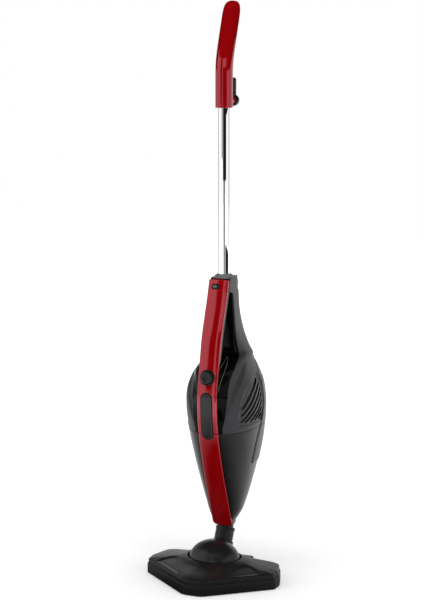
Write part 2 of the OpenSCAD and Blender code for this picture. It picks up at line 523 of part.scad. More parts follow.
module cup_gasket() color([0.1, 0.1, 0.1]) difference() {
  translate([0, 0, seam_height - 3.4]) linear_extrude(9) polygon(deck(seam_height - 5, shell_wall + 1));
  translate([0, 0, seam_height - 5]) linear_extrude(12) polygon(deck(seam_height - 5, shell_wall + 4.4));
}
module filter_frame() color([0.85, 0.85, 0.83]) on_motor() union() {
  difference() {
    rod_z(seam_height - 4, seam_height + 5.8, filter_radius + 6);
    rod_z(seam_height - 5, seam_height + 7, filter_radius - 6);
  }
  difference() {
    rod_z(seam_height - 75, seam_height - 71, filter_radius + 2);
    rod_z(seam_height - 77, seam_height - 73, filter_radius - 2);
  }
}
module filter_pleat() color([0.93, 0.93, 0.9]) on_motor() translate([0, 0, seam_height - 70.8]) linear_extrude(66.6) difference() {
  polygon([for (k = [0:2 * filter_pleats - 1]) let (r = k % 2 == 0 ? filter_radius : filter_radius - 7, a = k * 180 / filter_pleats) [r * cos(a), r * sin(a)]]);
  polygon([for (k = [0:2 * filter_pleats - 1]) let (r = k % 2 == 0 ? filter_radius - 1.4 : filter_radius - 8.4, a = k * 180 / filter_pleats) [r * cos(a), r * sin(a)]]);
}
function post_half(b) = let (c = section(b[1], shell_wall + b[2])) c[0] * pow(1 - pow(abs((b[0] - c[2]) / c[1]), c[3]), 1 / c[3]);
module housing_screws() color([0.6, 0.6, 0.62]) for (b = housing_bosses) translate([0, b[0], b[1]]) rod_x(-9, 8, screw_radius, fine_fn);
module housing_posts() color([0.3, 0.3, 0.31]) difference() {
  for (b = housing_bosses) translate([0, b[0], b[1]]) rod_x(-post_half(b), post_half(b), 3.4, fine_fn);
  for (b = housing_bosses) translate([0, b[0], b[1]]) rod_x(-9.1, 8.1, screw_radius, fine_fn);
}
module motor_bracket() color([0.2, 0.2, 0.2]) difference() {
  h = can_low + motor_height + 2;
  slab([-half_w(h) + 6, motor_y - 12, h], [half_w(h) - 6, motor_y + 12, h + 4]);
  on_motor() rod_z(h - 1, h + 5, 22);
}

// ---------- dust cup ----------
neck_y = 1;
neck_z = 76;
module on_neck(s = 0) translate([0, neck_y, neck_z]) rotate([-neck_lean, 0, 0]) translate([0, 0, s]) children();
cup_levels = levels(98, seam_height - 0.4);
cup_inner_levels = levels(103, seam_height - 0.4);
nozzle_low = -5.4;
nozzle_high = 44;
module dust_cup() color([0.13, 0.13, 0.13]) difference() {
  union() {
    vessel([for (z = cup_levels) whole(front_arc(z, 0, back_y(z), cup_steps))],
           [for (z = cup_inner_levels) whole(front_arc(z, shell_wall, back_y(z) - shell_wall, cup_steps))]);
    on_neck() rod_z(nozzle_low, nozzle_high, nozzle_radius);
  }
  on_neck() rod_z(nozzle_low - 1, nozzle_high + 1, nozzle_radius - 2.4);
  slab([-8, -90, 299.6], [8, -70, seam_height + 1]);
}
flap_s = nozzle_high + 0.3;
module on_flap() on_neck(flap_s) translate([0, -nozzle_radius - 1.6, 0]) children();
module inlet_flap() color([0.1, 0.1, 0.1]) on_flap() difference() {
  union() {
    translate([0, nozzle_radius + 1.6, 0]) rod_z(0, 1.4, nozzle_radius - 1.9);
    slab([-7, 0, 0], [7, 6, 1.4]);
    translate([0, 0, 1.4]) rod_x(-7, 7, 2.2, fine_fn);
  }
  translate([0, 0, 1.4]) rod_x(-8, 8, 1 + running_fit, fine_fn);
}
module flap_pin() color([0.6, 0.6, 0.62]) on_flap() translate([0, 0, 1.4]) rod_x(-10, 10, 1, fine_fn);
module flap_ears() color([0.13, 0.13, 0.13]) on_flap() difference() {
  for (s = [-1, 1]) slab([s > 0 ? 7.4 : -10.4, -2.4, -6], [s > 0 ? 10.4 : -7.4, 2.4, 3.6]);
  translate([0, 0, 1.4]) rod_x(-11, 11, 1, fine_fn);
  translate([0, nozzle_radius + 1.6, 0]) rod_z(-20, 8, nozzle_radius + 0.02);
}

// ---------- neck and knuckle ----------
neck_top = 15;
journal_top = -13;
journal_low = -34;
socket_low = -6;
journal_radius = neck_radius - 2;
module neck() color([0.16, 0.16, 0.16]) on_neck() difference() {
  union() {
    rod_z(journal_top, neck_top, neck_radius);
    rod_z(journal_low, journal_top + 1, journal_radius);
  }
  rod_z(socket_low, neck_top + 1, nozzle_radius + running_fit);
  rod_z(journal_low - 1, socket_low + 1, nozzle_radius - 2.4);
}
module neck_ring() color([0.12, 0.12, 0.12]) on_neck() pipe_z(neck_top - 5, neck_top - 0.6, neck_radius + 1, neck_radius);
pivot_y = -52;
pivot_z = 36;
module on_pivot() translate([0, pivot_y, pivot_z]) children();
function barrel(r, h) = [for (k = [0:14]) let (x = -h + 2 * h * k / 14, c = max(0, 1 - pow(x / h, 2))) [r * pow(c, 0.5), x]];
module barrel_solid(r, h) rotate([0, 90, 0]) rotate_extrude($fn = 72) polygon(concat([[0, -h]], [for (p = barrel(r, h)) if (p[0] > 0.1) p], [[0, h]]));
knuckle_wall = 2.6;
pin_radius = 3.5;
module knuckle() color([0.14, 0.14, 0.14]) difference() {
  union() {
    on_pivot() difference() { barrel_solid(knuckle_radius, knuckle_half); barrel_solid(knuckle_radius - knuckle_wall, knuckle_half - knuckle_wall); }
    intersection() {
      on_neck() rod_z(journal_low - 1, journal_top - 0.4, journal_radius + 4.4);
      on_pivot() rod_x(-40, 40, 74);
    }
    on_pivot() rod_x(-knuckle_half - 7, -knuckle_half + 6, pin_radius);
    on_pivot() rod_x(knuckle_half - 6, knuckle_half + 7, pin_radius);
  }
  on_neck() rod_z(journal_low - 0.4, journal_top + 1, journal_radius + running_fit);
  on_neck() rod_z(journal_low - 26, journal_low + 1, nozzle_radius - 2.4);
  on_pivot() slab([-60, -70, -70], [60, 70, -20]);
  on_pivot() slab([-47, 0, -70], [47, 70, 0]);
}
module pivot_blocks() color([0.15, 0.15, 0.15]) pair() on_pivot() difference() {
  union() {
    rod_x(knuckle_half + 1.2, knuckle_half + 8, pin_radius + 3);
    slab([knuckle_half + 1.2, -6, 4.2 - pivot_z], [knuckle_half + 8, 6, 0]);
  }
  rod_x(knuckle_half, knuckle_half + 9, pin_radius + running_fit);
}

// ---------- floor head ----------
head_points = [[-20, -171.5], [20, -171.5], [139, -77], [141, -53], [126.5, -7], [64, -2.5], [-64, -2.5], [-126.5, -7], [-141, -53], [-139, -77]];
head_rounds = [26, 26, 8, 14, 12, 6, 6, 12, 14, 8];
corner_steps = 4;
function unit(v) = v / norm(v);
function inset(pts, d) = let (n = len(pts)) [for (i = [0:n - 1])
  let (a = pts[(i + n - 1) % n], b = pts[i], c = pts[(i + 1) % n], u = unit(b - a), v = unit(c - b),
       nu = [-u[1], u[0]], nv = [-v[1], v[0]], k = 1 + nu * nv)
  b + (nu + nv) * d / k];
function rounded(pts, rs) = let (n = len(pts)) [for (i = [0:n - 1])
  let (a = pts[(i + n - 1) % n], b = pts[i], c = pts[(i + 1) % n], u = unit(a - b), v = unit(c - b),
       half = acos(u * v) / 2, r = rs[i], cc = b + unit(u + v) * r / sin(half),
       p0 = b + u * r / tan(half), p1 = b + v * r / tan(half),
       g0 = atan2(p0[1] - cc[1], p0[0] - cc[0]), g1 = atan2(p1[1] - cc[1], p1[0] - cc[0]), dg = (g1 - g0 + 540) % 360 - 180)
  for (k = [0:corner_steps]) cc + r * [cos(g0 + dg * k / corner_steps), sin(g0 + dg * k / corner_steps)]];
function head_outline(d) = rounded(inset(head_points, d), [for (r = head_rounds) max(2, r - d)]);
slot_half = 26;
bumper_low = 0.8;
module neck_slot() slab([-slot_half, -23, -5], [slot_half, 60, 90]);
module head_base() color([0.09, 0.09, 0.09]) difference() {
  translate([0, 0, bumper_low]) linear_extrude(bumper_height - bumper_low) polygon(head_outline(0));
  translate([0, 0, bumper_low - 1]) linear_extrude(bumper_height + 1) polygon(head_outline(head_wall + 0.4));
  neck_slot();
  slab([-38, -9, -5], [38, 9, 90]);
  pod_space(0.6);
}
aperture = [knuckle_half + 2.6, knuckle_radius + 2.6];
cover_rings = [[0.972, 22.4], [0.968, 29], [0.945, 31.4], [0.86, 33.6], [0.7, 36.2], [0.5, 38.4], [0.3, 41], [0.12, 44.6], [0, 46.2]];
cover_step = 16;
function dense(pts) = let (n = len(pts)) [for (i = [0:n - 1]) let (a = pts[i], b = pts[(i + 1) % n], m = max(1, ceil(norm(b - a) / cover_step))) for (k = [0:m - 1]) a + (b - a) * k / m];
head_ref = dense(head_outline(0));
function cover_point(p, k, z, d) = let (a = atan2((p[1] - pivot_y) / aperture[1], p[0] / aperture[0]), e = [aperture[0] * cos(a), pivot_y + aperture[1] * sin(a)],
  q = e + (p - e) * k) [q[0] - d * cos(a), q[1] - d * sin(a), z];
module head_cover() color([0.1, 0.1, 0.1]) difference() {
  ring_skin([for (r = cover_rings) [for (p = head_ref) cover_point(p, r[0], r[1], 0)]],
            [for (i = [0:len(cover_rings) - 1]) let (r = cover_rings[i]) [for (p = head_ref) cover_point(p, r[0], i == 0 ? r[1] : r[1] - head_wall + (i == 1 ? 0.4 : 0), i < 2 ? head_wall : (i == 2 ? 1.6 : 0))]]);
  neck_slot();
  pod_space(0.6);
}
sole_low = 1.6;
mouth = [[-66, -121], [66, -105]];
module sole_plate() color([0.07, 0.07, 0.07]) difference() {
  translate([0, 0, sole_low]) linear_extrude(2.4) polygon(head_outline(head_wall + 0.8));
  slab([mouth[0][0], mouth[0][1], -1], [mouth[1][0], mouth[1][1], 10]);
  neck_slot();
  pod_space(0.6);
}
module bristle_strips() color([0.12, 0.12, 0.12]) {
  slab([mouth[0][0], mouth[0][1] - 6, 0], [mouth[1][0], mouth[0][1] - 1, sole_low - 0.05]);
  slab([mouth[0][0], mouth[1][1] + 1, 0], [mouth[1][0], mouth[1][1] + 6, sole_low - 0.05]);
}
module glide_pads() color([0.25, 0.25, 0.25]) pair() {
  translate([100, -48, 0]) rod_z(0, sole_low - 0.05, 10);
  translate([44, -36, 0]) rod_z(0, sole_low - 0.05, 8);
}
module suction_duct() color([0.18, 0.18, 0.18]) difference() {
  slab([mouth[0][0] - 2.4, mouth[0][1] - 2.4, 4.2], [mouth[1][0] + 2.4, mouth[1][1] + 4.4, 25]);
  slab([mouth[0][0], mouth[0][1], 2], [mouth[1][0], mouth[1][1], 22.6]);
  slab([-24, -112, 6.4], [24, -90, 22.6]);
}
wheel_y = 14;
wheel_x = 44;
wheel_z = wheel_radius;
pod_front = -16.5;
module at_wheel() translate([wheel_x, wheel_y, wheel_z]) children();
module pod_shape(g) at_wheel() {
  rod_x(-wheel_width / 2 - 3.6 - g, wheel_width / 2 + 3.6 + g, wheel_radius + 5.4 + g);
  slab([-wheel_width / 2 - 3.6 - g, pod_front - wheel_y - g, -9 - g], [wheel_width / 2 + 3.6 + g, 0, wheel_radius + 5.4 + g]);
}
module pod_space(g) pair() pod_shape(g);
module wheel_pods() color([0.09, 0.09, 0.09]) pair() difference() {
  pod_shape(0);
  at_wheel() rod_x(-wheel_width / 2 - 0.8, wheel_width / 2 + 0.8, wheel_radius + 1.4);
  at_wheel() slab([-wheel_width / 2 - 0.8, -wheel_radius - 1.4, -30], [wheel_width / 2 + 0.8, wheel_radius + 1.4, 0]);
  at_wheel() slab([-30, -60, -30], [30, 60, -wheel_z + 2]);
  at_wheel() rod_x(-wheel_width / 2 - 2.6, wheel_width / 2 + 2.6, 2.5);
}
module wheel_axles() color([0.6, 0.6, 0.62]) pair() at_wheel() rod_x(-wheel_width / 2 - 2.5, wheel_width / 2 + 2.5, 2.5);
module wheel() at_wheel() difference() {
  rod_x(-wheel_width / 2, wheel_width / 2, wheel_radius);
  rod_x(-wheel_width, wheel_width, 2.5 + running_fit);
  rod_x(wheel_width / 2 - 2, wheel_width, 7.5);
}
module wheel_right() color([0.12, 0.12, 0.12]) wheel();
module wheel_left() color([0.12, 0.12, 0.12]) mirror([1, 0, 0]) wheel();
head_post_spots = [[104, -72], [66, -92], [100, -30]];
module head_posts() color([0.15, 0.15, 0.15]) pair() for (p = head_post_spots) translate([p[0], p[1], 0]) pipe_z(4.1, 28.6, 3.6, screw_radius, fine_fn);
module head_screws() color([0.6, 0.6, 0.62]) pair() for (p = head_post_spots) translate([p[0], p[1], 0]) rod_z(4.1, 20, screw_radius, fine_fn);

translate([0, origin_back, 0]) {
  handle_front();
  handle_rear();
  handle_screws();
  handle_bush();
  chrome_tube();
  cord_hook();
  hook_pin();
  front_strip();
  cup_strip();
  grip_bar();
  grip_liner();
  housing_left();
  housing_right();
  rear_cover();
  cup_rear_cover();
  cord_outlet();
  tube_collar();
  power_bezel();
  power_button();
  power_switch();
  cup_latch();
  latch_ears();
  latch_pad();
  tube_lock();
  motor_deck();
  fan_shroud();
  motor_can();
  rotor_core();
  fan_wheel();
  motor_rubber();
  motor_cradle();
  exhaust_foam();
  cup_gasket();
  filter_frame();
  filter_pleat();
  housing_posts();
  housing_screws();
  motor_bracket();
  dust_cup();
  inlet_flap();
  flap_pin();
  flap_ears();
  neck();
  neck_ring();
  knuckle();
  pivot_blocks();
  head_base();
  head_cover();
  sole_plate();
  bristle_strips();
  glide_pads();
  suction_duct();
  wheel_pods();
  wheel_axles();
  wheel_right();
  wheel_left();
  head_posts();
  head_screws();
}
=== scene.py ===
import math
import bpy
import bmesh
from mathutils import Matrix, Vector


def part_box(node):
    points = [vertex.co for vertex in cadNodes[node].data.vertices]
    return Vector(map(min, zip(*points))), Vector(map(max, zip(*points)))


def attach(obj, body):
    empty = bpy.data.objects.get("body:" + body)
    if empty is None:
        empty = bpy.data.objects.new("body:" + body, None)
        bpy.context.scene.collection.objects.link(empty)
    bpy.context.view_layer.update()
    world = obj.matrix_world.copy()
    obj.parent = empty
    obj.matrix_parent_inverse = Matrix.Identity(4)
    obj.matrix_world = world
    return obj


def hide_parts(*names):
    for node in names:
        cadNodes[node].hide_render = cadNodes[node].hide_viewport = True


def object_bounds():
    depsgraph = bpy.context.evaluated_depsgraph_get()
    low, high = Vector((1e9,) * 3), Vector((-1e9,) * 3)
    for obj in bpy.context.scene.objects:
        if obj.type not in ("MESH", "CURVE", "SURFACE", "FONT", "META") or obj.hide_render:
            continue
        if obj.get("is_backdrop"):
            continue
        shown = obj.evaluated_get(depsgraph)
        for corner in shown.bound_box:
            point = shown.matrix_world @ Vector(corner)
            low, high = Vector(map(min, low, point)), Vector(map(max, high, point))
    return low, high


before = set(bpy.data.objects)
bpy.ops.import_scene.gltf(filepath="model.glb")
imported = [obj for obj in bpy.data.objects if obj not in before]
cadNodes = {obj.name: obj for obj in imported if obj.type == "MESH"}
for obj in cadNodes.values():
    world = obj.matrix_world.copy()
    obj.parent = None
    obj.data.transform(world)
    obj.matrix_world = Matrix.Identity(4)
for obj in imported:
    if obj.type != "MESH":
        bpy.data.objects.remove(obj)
cadLow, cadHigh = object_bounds()
scene = bpy.context.scene
tubeLow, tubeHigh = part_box("chrome_tube")
axisY = (tubeLow.y + tubeHigh.y) / 2 * 1000  # the tube's axis, in millimetres
print("frame loaded", len(cadNodes), "nodes")


def at(x, y, z):  # millimetres from the tube's axis to metres in the frame
    return Vector((x / 1000, (y + axisY) / 1000, z / 1000))


# materials
def shader(name):
    mat = bpy.data.materials.new(name)
    mat.use_nodes = True
    tree = mat.node_tree
    return mat, tree, tree.nodes["Principled BSDF"]


def node(tree, kind, **values):
    n = tree.nodes.new(kind)
    for key, value in values.items():
        if key in n.inputs:
            n.inputs[key].default_value = value
        else:
            setattr(n, key, value)
    return n


def wire(tree, *sockets):  # links sockets taken two by two
    for source, target in zip(sockets[::2], sockets[1::2]):
        tree.links.new(source, target)


def shades(color, low, high):  # a colour's darker and lighter shade
    return [tuple(part * k for part in color) + (1,) for k in (low, high)]


def plastic(name, look):  # a fine grain in the bump, cloudy gloss and slight shade changes
    mat, tree, bsdf = shader(name)
    place = node(tree, "ShaderNodeTexCoord")
    fine = node(tree, "ShaderNodeTexNoise", Scale=look.get("grainScale", 1800), Detail=2.0)
    cloud = node(tree, "ShaderNodeTexNoise", Scale=look.get("cloudScale", 14), Detail=4.0)
    shade = node(tree, "ShaderNodeMix", data_type="RGBA")
    vary, roughVary = look.get("vary", 0.08), look.get("roughVary", 0.04)
    shade.inputs[6].default_value, shade.inputs[7].default_value = shades(look["color"], 1 - vary, 1 + vary)
    rough = node(tree, "ShaderNodeMapRange")
    rough.inputs["To Min"].default_value = max(0.02, look["rough"] - roughVary)
    rough.inputs["To Max"].default_value = look["rough"] + roughVary
    bump = node(tree, "ShaderNodeBump", Strength=look.get("grain", 0.1), Distance=0.0002)
    wire(tree, place.outputs["Object"], fine.inputs["Vector"], place.outputs["Object"], cloud.inputs["Vector"],
         cloud.outputs["Fac"], shade.inputs[0], shade.outputs[2], bsdf.inputs["Base Color"],
         cloud.outputs["Fac"], rough.inputs["Value"], rough.outputs["Result"], bsdf.inputs["Roughness"],
         fine.outputs["Fac"], bump.inputs["Height"], bump.outputs["Normal"], bsdf.inputs["Normal"])
    levels = {"Specular IOR Level": look.get("specular", 0.5), "IOR": look.get("ior", 1.5),
              "Specular Tint": look.get("tint", (1, 1, 1)) + (1,), "Metallic": look.get("metal", 0.0)}
    for key, value in levels.items():
        bsdf.inputs[key].default_value = value
    return mat


def foam(name, look):
    mat, tree, bsdf = shader(name)
    place = node(tree, "ShaderNodeTexCoord")
    cells = node(tree, "ShaderNodeTexVoronoi", Scale=look["cells"])
    ramp = node(tree, "ShaderNodeValToRGB")
    ramp.color_ramp.elements[0].color, ramp.color_ramp.elements[1].color = shades(look["color"], 1.3, 0.4)
    bump = node(tree, "ShaderNodeBump", Strength=0.5, Distance=0.0006)
    wire(tree, place.outputs["Object"], cells.inputs["Vector"], cells.outputs["Distance"], ramp.inputs["Fac"],
         ramp.outputs["Color"], bsdf.inputs["Base Color"], cells.outputs["Distance"], bump.inputs["Height"],
         bump.outputs["Normal"], bsdf.inputs["Normal"])
    bsdf.inputs["Roughness"].default_value = 0.95
    return mat


finishes = {
    "redGloss": {"color": (0.305, 0.0004, 0.0018), "rough": 0.09, "grain": 0.01, "roughVary": 0.02, "vary": 0.04,
        "specular": 0.85, "ior": 1.8, "tint": (1.0, 0.36, 0.42)},
    "housingGrey": {"color": (0.034, 0.034, 0.038), "rough": 0.4, "grain": 0.12, "roughVary": 0.05, "specular": 0.3},
    "blackGloss": {"color": (0.0016, 0.0016, 0.0014), "rough": 0.14, "grain": 0.01, "roughVary": 0.02,
        "specular": 0.07},
    "blackSatin": {"color": (0.011, 0.011, 0.012), "rough": 0.36, "grain": 0.08, "specular": 0.35},
    "domeGrey": {"color": (0.0105, 0.0105, 0.011), "rough": 0.3, "grain": 0.1, "specular": 0.36},
    # pale grey on the leaf ridges: a painted highlight on black gloss
    "leafPaintedHighlight": {"color": (0.06, 0.06, 0.057), "rough": 0.2, "grain": 0.01, "roughVary": 0.02, "specular": 0.3},
    "latchBlack": {"color": (0.0085, 0.0085, 0.009), "rough": 0.3, "grain": 0.08, "specular": 0.4},
    "cupGrey": {"color": (0.009, 0.0091, 0.0093), "rough": 0.24, "grain": 0.04, "specular": 0.3},
    "headGrey": {"color": (0.0105, 0.0105, 0.011), "rough": 0.38, "grain": 0.14, "specular": 0.28},
    "paleGrey": {"color": (0.15, 0.15, 0.152), "rough": 0.38, "grain": 0.1},
    "lockGrey": {"color": (0.1, 0.1, 0.1), "rough": 0.32, "grain": 0.06},
    # near-black: the colour of the hidden inner parts, and painted shade on the walls of the cut slots and gaps
    "innerBlackAndCutShade": {"color": (0.001, 0.001, 0.001), "rough": 0.8, "grain": 0.1, "specular": 0.03},
    "rubber": {"color": (0.012, 0.012, 0.012), "rough": 0.75, "grain": 0.3, "grainScale": 900, "specular": 0.25},
    "chrome": {"color": (0.97, 0.97, 0.98), "rough": 0.04, "grain": 0.003, "metal": 1.0, "vary": 0.01,
        "roughVary": 0.01},
    "steel": {"color": (0.5, 0.5, 0.52), "rough": 0.28, "grain": 0.08, "metal": 1.0, "vary": 0.05},
    "copperCore": {"color": (0.35, 0.14, 0.06), "rough": 0.4, "grain": 0.3, "metal": 1.0, "grainScale": 700},
    "whitePlastic": {"color": (0.75, 0.75, 0.72), "rough": 0.4, "grain": 0.1},
    "filterPaper": {"color": (0.8, 0.8, 0.74), "rough": 0.9, "grain": 0.6, "grainScale": 600, "specular": 0.2},
}
mats = {key: plastic(key, look) for key, look in finishes.items()}
mats["foamBlack"] = foam("foamBlack", {"color": (0.0025, 0.0025, 0.0025), "cells": 700})
print("materials made", len(mats))

nodesByFinish = {
    "steel": "handle_screws hook_pin fan_shroud motor_can fan_wheel housing_screws "
        "flap_pin sole_plate wheel_axles head_screws",
    "innerBlackAndCutShade": "motor_deck motor_cradle motor_bracket suction_duct head_posts",
    "rubber": "latch_pad motor_rubber cup_gasket inlet_flap bristle_strips glide_pads",
    "whitePlastic": "power_switch filter_frame", "copperCore": "rotor_core", "foamBlack": "exhaust_foam",
    "filterPaper": "filter_pleat", "housingGrey": "housing_posts", "cupGrey": "flap_ears", "headGrey": "wheel_pods",
}
nodeFinish = {name: finish for finish, names in nodesByFinish.items() for name in names.split()}
for name, obj in cadNodes.items():
    obj.data.materials.clear()
    obj.data.materials.append(mats[nodeFinish.get(name, "blackSatin")])


# making and finishing pieces
def linked(name, bm):  # an object made from a bmesh
    mesh = bpy.data.meshes.new(name)
    bm.to_mesh(mesh)
    bm.free()
    obj = bpy.data.objects.new(name, mesh)
    scene.collection.objects.link(obj)
    return obj


def gridSkin(across, along, place, seam=False):
    bm = bmesh.new()
    bmesh.ops.create_grid(bm, x_segments=across, y_segments=along, size=0.5)
    for v in bm.verts:
        v.co = place(v.co.x + 0.5, v.co.y + 0.5)
    if seam:
        bmesh.ops.remove_doubles(bm, verts=bm.verts, dist=2e-6)
    return bm


def faceOut(bm, middle):  # turns an open skin's faces away from a line through middle
    bm.normal_update()
    total = sum(f.normal.dot(f.calc_center_median() - middle(f.calc_center_median())) * f.calc_area()
        for f in bm.faces)
    if total < 0:
        bmesh.ops.reverse_faces(bm, faces=bm.faces)


def outward(bm):
    bmesh.ops.recalc_face_normals(bm, faces=bm.faces)


def onAxis(p):
    return Vector((0, at(0, 8, 0).y, p.z))


def piece(name, bm, finish, body, slotName, stands=()):
    obj = linked(name, bm)
    obj.data.materials.append(mats[finish])
    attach(obj, body)
    if stands:
        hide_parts(*stands)
    return obj


def thicken(obj, wall):
    m = obj.modifiers.new("wall", "SOLIDIFY")
    m.thickness, m.offset, m.use_even_offset = wall / 1000, -1, False


def applyModifiers(obj):
    bpy.context.view_layer.update()
    graph = bpy.context.evaluated_depsgraph_get()
    mesh = bpy.data.meshes.new_from_object(obj.evaluated_get(graph))
    obj.modifiers.clear()
    obj.data = mesh


def settle(obj, sharp=38, soft=0, segments=2, angle=50):  # softens edges where asked, then shades it
    if soft:
        m = obj.modifiers.new("edges", "BEVEL")
        m.width, m.segments, m.limit_method = soft / 1000, segments, "ANGLE"
        m.angle_limit, m.use_clamp_overlap = math.radians(angle), True
    applyModifiers(obj)
    obj.data.shade_smooth()
    obj.data.set_sharp_from_angle(angle=math.radians(sharp))
    return obj


def skinned(name, bm, middle, wall, looks, sharp=38, soft=0):  # an open skin given its wall
    faceOut(bm, middle)
    obj = piece(name, bm, *looks)
    thicken(obj, wall)
    return settle(obj, sharp, soft)


def cut(obj, bm, lining=None):  # takes a closed shape out of a piece; a lining finish colours the new walls, used to paint shade into slots and gaps
    outward(bm)
    tool = linked("cutter", bm)
    if lining:
        tool.data.materials.append(mats[lining])
    m = obj.modifiers.new("cut", "BOOLEAN")
    m.operation, m.solver, m.object = "DIFFERENCE", "EXACT", tool
    m.material_mode = "TRANSFER" if lining else "INDEX"
    applyModifiers(obj)
    bpy.data.objects.remove(tool)


def block(low, high):  # a closed box between two corners, in millimetres from the tube's axis
    bm = bmesh.new()
    bmesh.ops.create_cube(bm, size=0.001)
    bmesh.ops.scale(bm, vec=[h - l for l, h in zip(low, high)], verts=bm.verts)
    bmesh.ops.translate(bm, vec=at(*[(l + h) / 2 for l, h in zip(low, high)]), verts=bm.verts)
    return bm


def frameAt(place, turn, axis):
    return Matrix.Translation(place) @ Matrix.Rotation(turn, 4, axis)


def rearward(x, y, z):  # a frame at a place, its Z pointing to the back
    return frameAt(at(x, y, z), -math.pi / 2, "X")


def turned(profile, segments, matrix):  # (radius, height) pairs in millimetres spun about a frame's Z
    bm = bmesh.new()
    verts = [bm.verts.new((r / 1000, 0, h / 1000)) for r, h in profile]
    edges = [bm.edges.new((verts[i], verts[i + 1])) for i in range(len(verts) - 1)]
    bmesh.ops.spin(bm, geom=verts + edges, axis=(0, 0, 1), cent=(0, 0, 0), angle=math.tau, steps=segments,
        use_merge=True)
    bmesh.ops.remove_doubles(bm, verts=bm.verts, dist=1e-6)
    outward(bm)
    bmesh.ops.transform(bm, matrix=matrix, verts=bm.verts)
    return bm


def roundProfile(profile, radius=0.5, steps=3):  # rounds the corners of a turned profile
    out = [profile[0]]
    for i in range(1, len(profile) - 1):
        a, b, c = (Vector(profile[i - 1]), Vector(profile[i]), Vector(profile[i + 1]))
        d0, d1 = (a - b), (c - b)
        r = min(radius, d0.length * 0.45, d1.length * 0.45)
        if r < 0.02:
            out.append(tuple(b))
            continue
        p, q = b + d0.normalized() * r, b + d1.normalized() * r
        for k in range(steps + 1):
            t = k / steps
            out.append(tuple(p * (1 - t) ** 2 + b * 2 * t * (1 - t) + q * t * t))
    out.append(profile[-1])
    return out


def tubeWall(inner, outer, low, high):  # the closed profile of a plain ring
    return [(inner, low), (outer, low), (outer, high), (inner, high), (inner, low)]


def rod(radius, low, high):  # the profile of a solid round bar
    return [(0, low), (radius, low), (radius, high), (0, high)]


# look is (segments, rounding, sharp angle, frame)
def lathe(name, profile, look, finish, body, slotName, stands=(), steps=3):
    segments, rounding, sharp, matrix = look
    bm = turned(roundProfile(profile, rounding, steps), segments, matrix)
    return settle(piece(name, bm, finish, body, slotName, stands), sharp)


def outlinePrism(points, low, high, toWorld):  # a flat outline pulled up from low to high
    bm = bmesh.new()
    base = [bm.verts.new((x, y, low)) for x, y in points]
    face = bm.faces.new(base)
    top = bmesh.ops.extrude_face_region(bm, geom=[face])
    bmesh.ops.translate(bm, vec=(0, 0, high - low),
        verts=[v for v in top["geom"] if isinstance(v, bmesh.types.BMVert)])
    for v in bm.verts:
        v.co = toWorld(v.co)
    outward(bm)
    return bm


# curves that the body follows
def flowing(points):  # a smooth line through (place, value) pairs that never overshoots
    xs, ys = [p[0] for p in points], [p[1] for p in points]
    n = len(xs)
    d = [(ys[i + 1] - ys[i]) / (xs[i + 1] - xs[i]) for i in range(n - 1)]
    m = [d[0]] + [0 if d[i - 1] * d[i] <= 0 else 2 * d[i - 1] * d[i] / (d[i - 1] + d[i])
        for i in range(1, n - 1)] + [d[-1]]

    def value(x):
        if x <= xs[0]:
            return ys[0] + m[0] * (x - xs[0])
        if x >= xs[-1]:
            return ys[-1] + m[-1] * (x - xs[-1])
        i = max(k for k in range(n - 1) if xs[k] <= x)
        h = xs[i + 1] - xs[i]
        t = (x - xs[i]) / h
        return (ys[i] * (1 + 2 * t) * (1 - t) ** 2 + h * m[i] * t * (1 - t) ** 2 + ys[i + 1] * t * t * (3 - 2 * t)
            + h * m[i + 1] * t * t * (t - 1))

    return value


# height, half width, front edge, rear, squareness, front flat
bodyRows = [
    (98, 19, -5.6, 35.5, 2.2, -5.3), (106, 20.5, -6.5, 41, 2.2, -6.3), (112, 24.5, -9.8, 43.5, 2.2, -9),
    (118, 28, -14.8, 45.5, 2.2, -11.8), (130, 34, -19.7, 50, 2.2, -16.7), (150, 39.5, -27.7, 64.5, 2.2, -24.7),
    (170, 44.5, -36, 76, 2.2, -33), (190, 49, -44.5, 87.5, 2.2, -41.5), (210, 53.3, -52.8, 98, 2.2, -49.8),
    (230, 57.5, -59.9, 105, 2.2, -56.9), (250, 61.3, -67, 111, 2.2, -64), (270, 65, -73, 116, 2.2, -70),
    (290, 68, -78.9, 118, 2.2, -75.9), (307, 70.5, -82.8, 118, 2.2, -79.8),
    (320, 72.3, -84.9, 116.5, 2.2, -81.9), (335, 73.6, -87.5, 115, 2.2, -84.5),
    (350, 74.6, -88.8, 113.5, 2.2, -85.8), (365, 74, -89.5, 112, 2.2, -86.5),
    (380, 72, -90.3, 111.5, 2.2, -87.3), (395, 69, -87.6, 110, 2.2, -84.6), (410, 62.5, -84.9, 107, 2.25, -81.9),
    (425, 55, -82.1, 103, 2.3, -79.1), (432, 50.5, -80, 101, 2.35, -77.4), (441, 44.5, -61, 99, 2.4, -60.2),
    (449, 40.5, -17, 94, 2.5, -18), (456, 36, 7, 87, 2.6, 6), (464, 32, 6, 84, 2.7, 5), (475, 28, 5, 79, 3, 4),
    (490, 25, 4, 70, 3.2, 3), (505, 23.4, 2.5, 61, 3.5, 1.5), (520, 22.6, 1, 52, 3.8, 0),
    (535, 22.3, -1, 44, 4, -2), (550, 22, -3, 39, 4.2, -4), (565, 22, -5.5, 36, 4.5, -6.5),
    (579, 21.8, -9, 35, 4.5, -10), (586, 21.5, -29, 34, 4.5, -30), (600, 21.2, -25, 32, 4.5, -26),
    (612, 21, -21, 31, 4.5, -22)
]
halfW, edgeY, backY, squareN, flatY = [flowing([(r[0], r[k]) for r in bodyRows]) for k in range(1, 6)]
stripY = flowing([
    (90, -3), (98, -6.5), (102, -8.1), (122, -16.5), (158, -31), (206, -51.4), (252, -67.8), (270, -73.5),
    (297, -80.9), (320, -85.5), (339, -88.4), (360, -89.8), (380, -90.3), (395, -88.2), (422, -82.7),
    (457, -75.4), (495, -67), (532, -53.7), (570, -39), (585, -33.8), (608, -26.4), (616, -23.8)
])
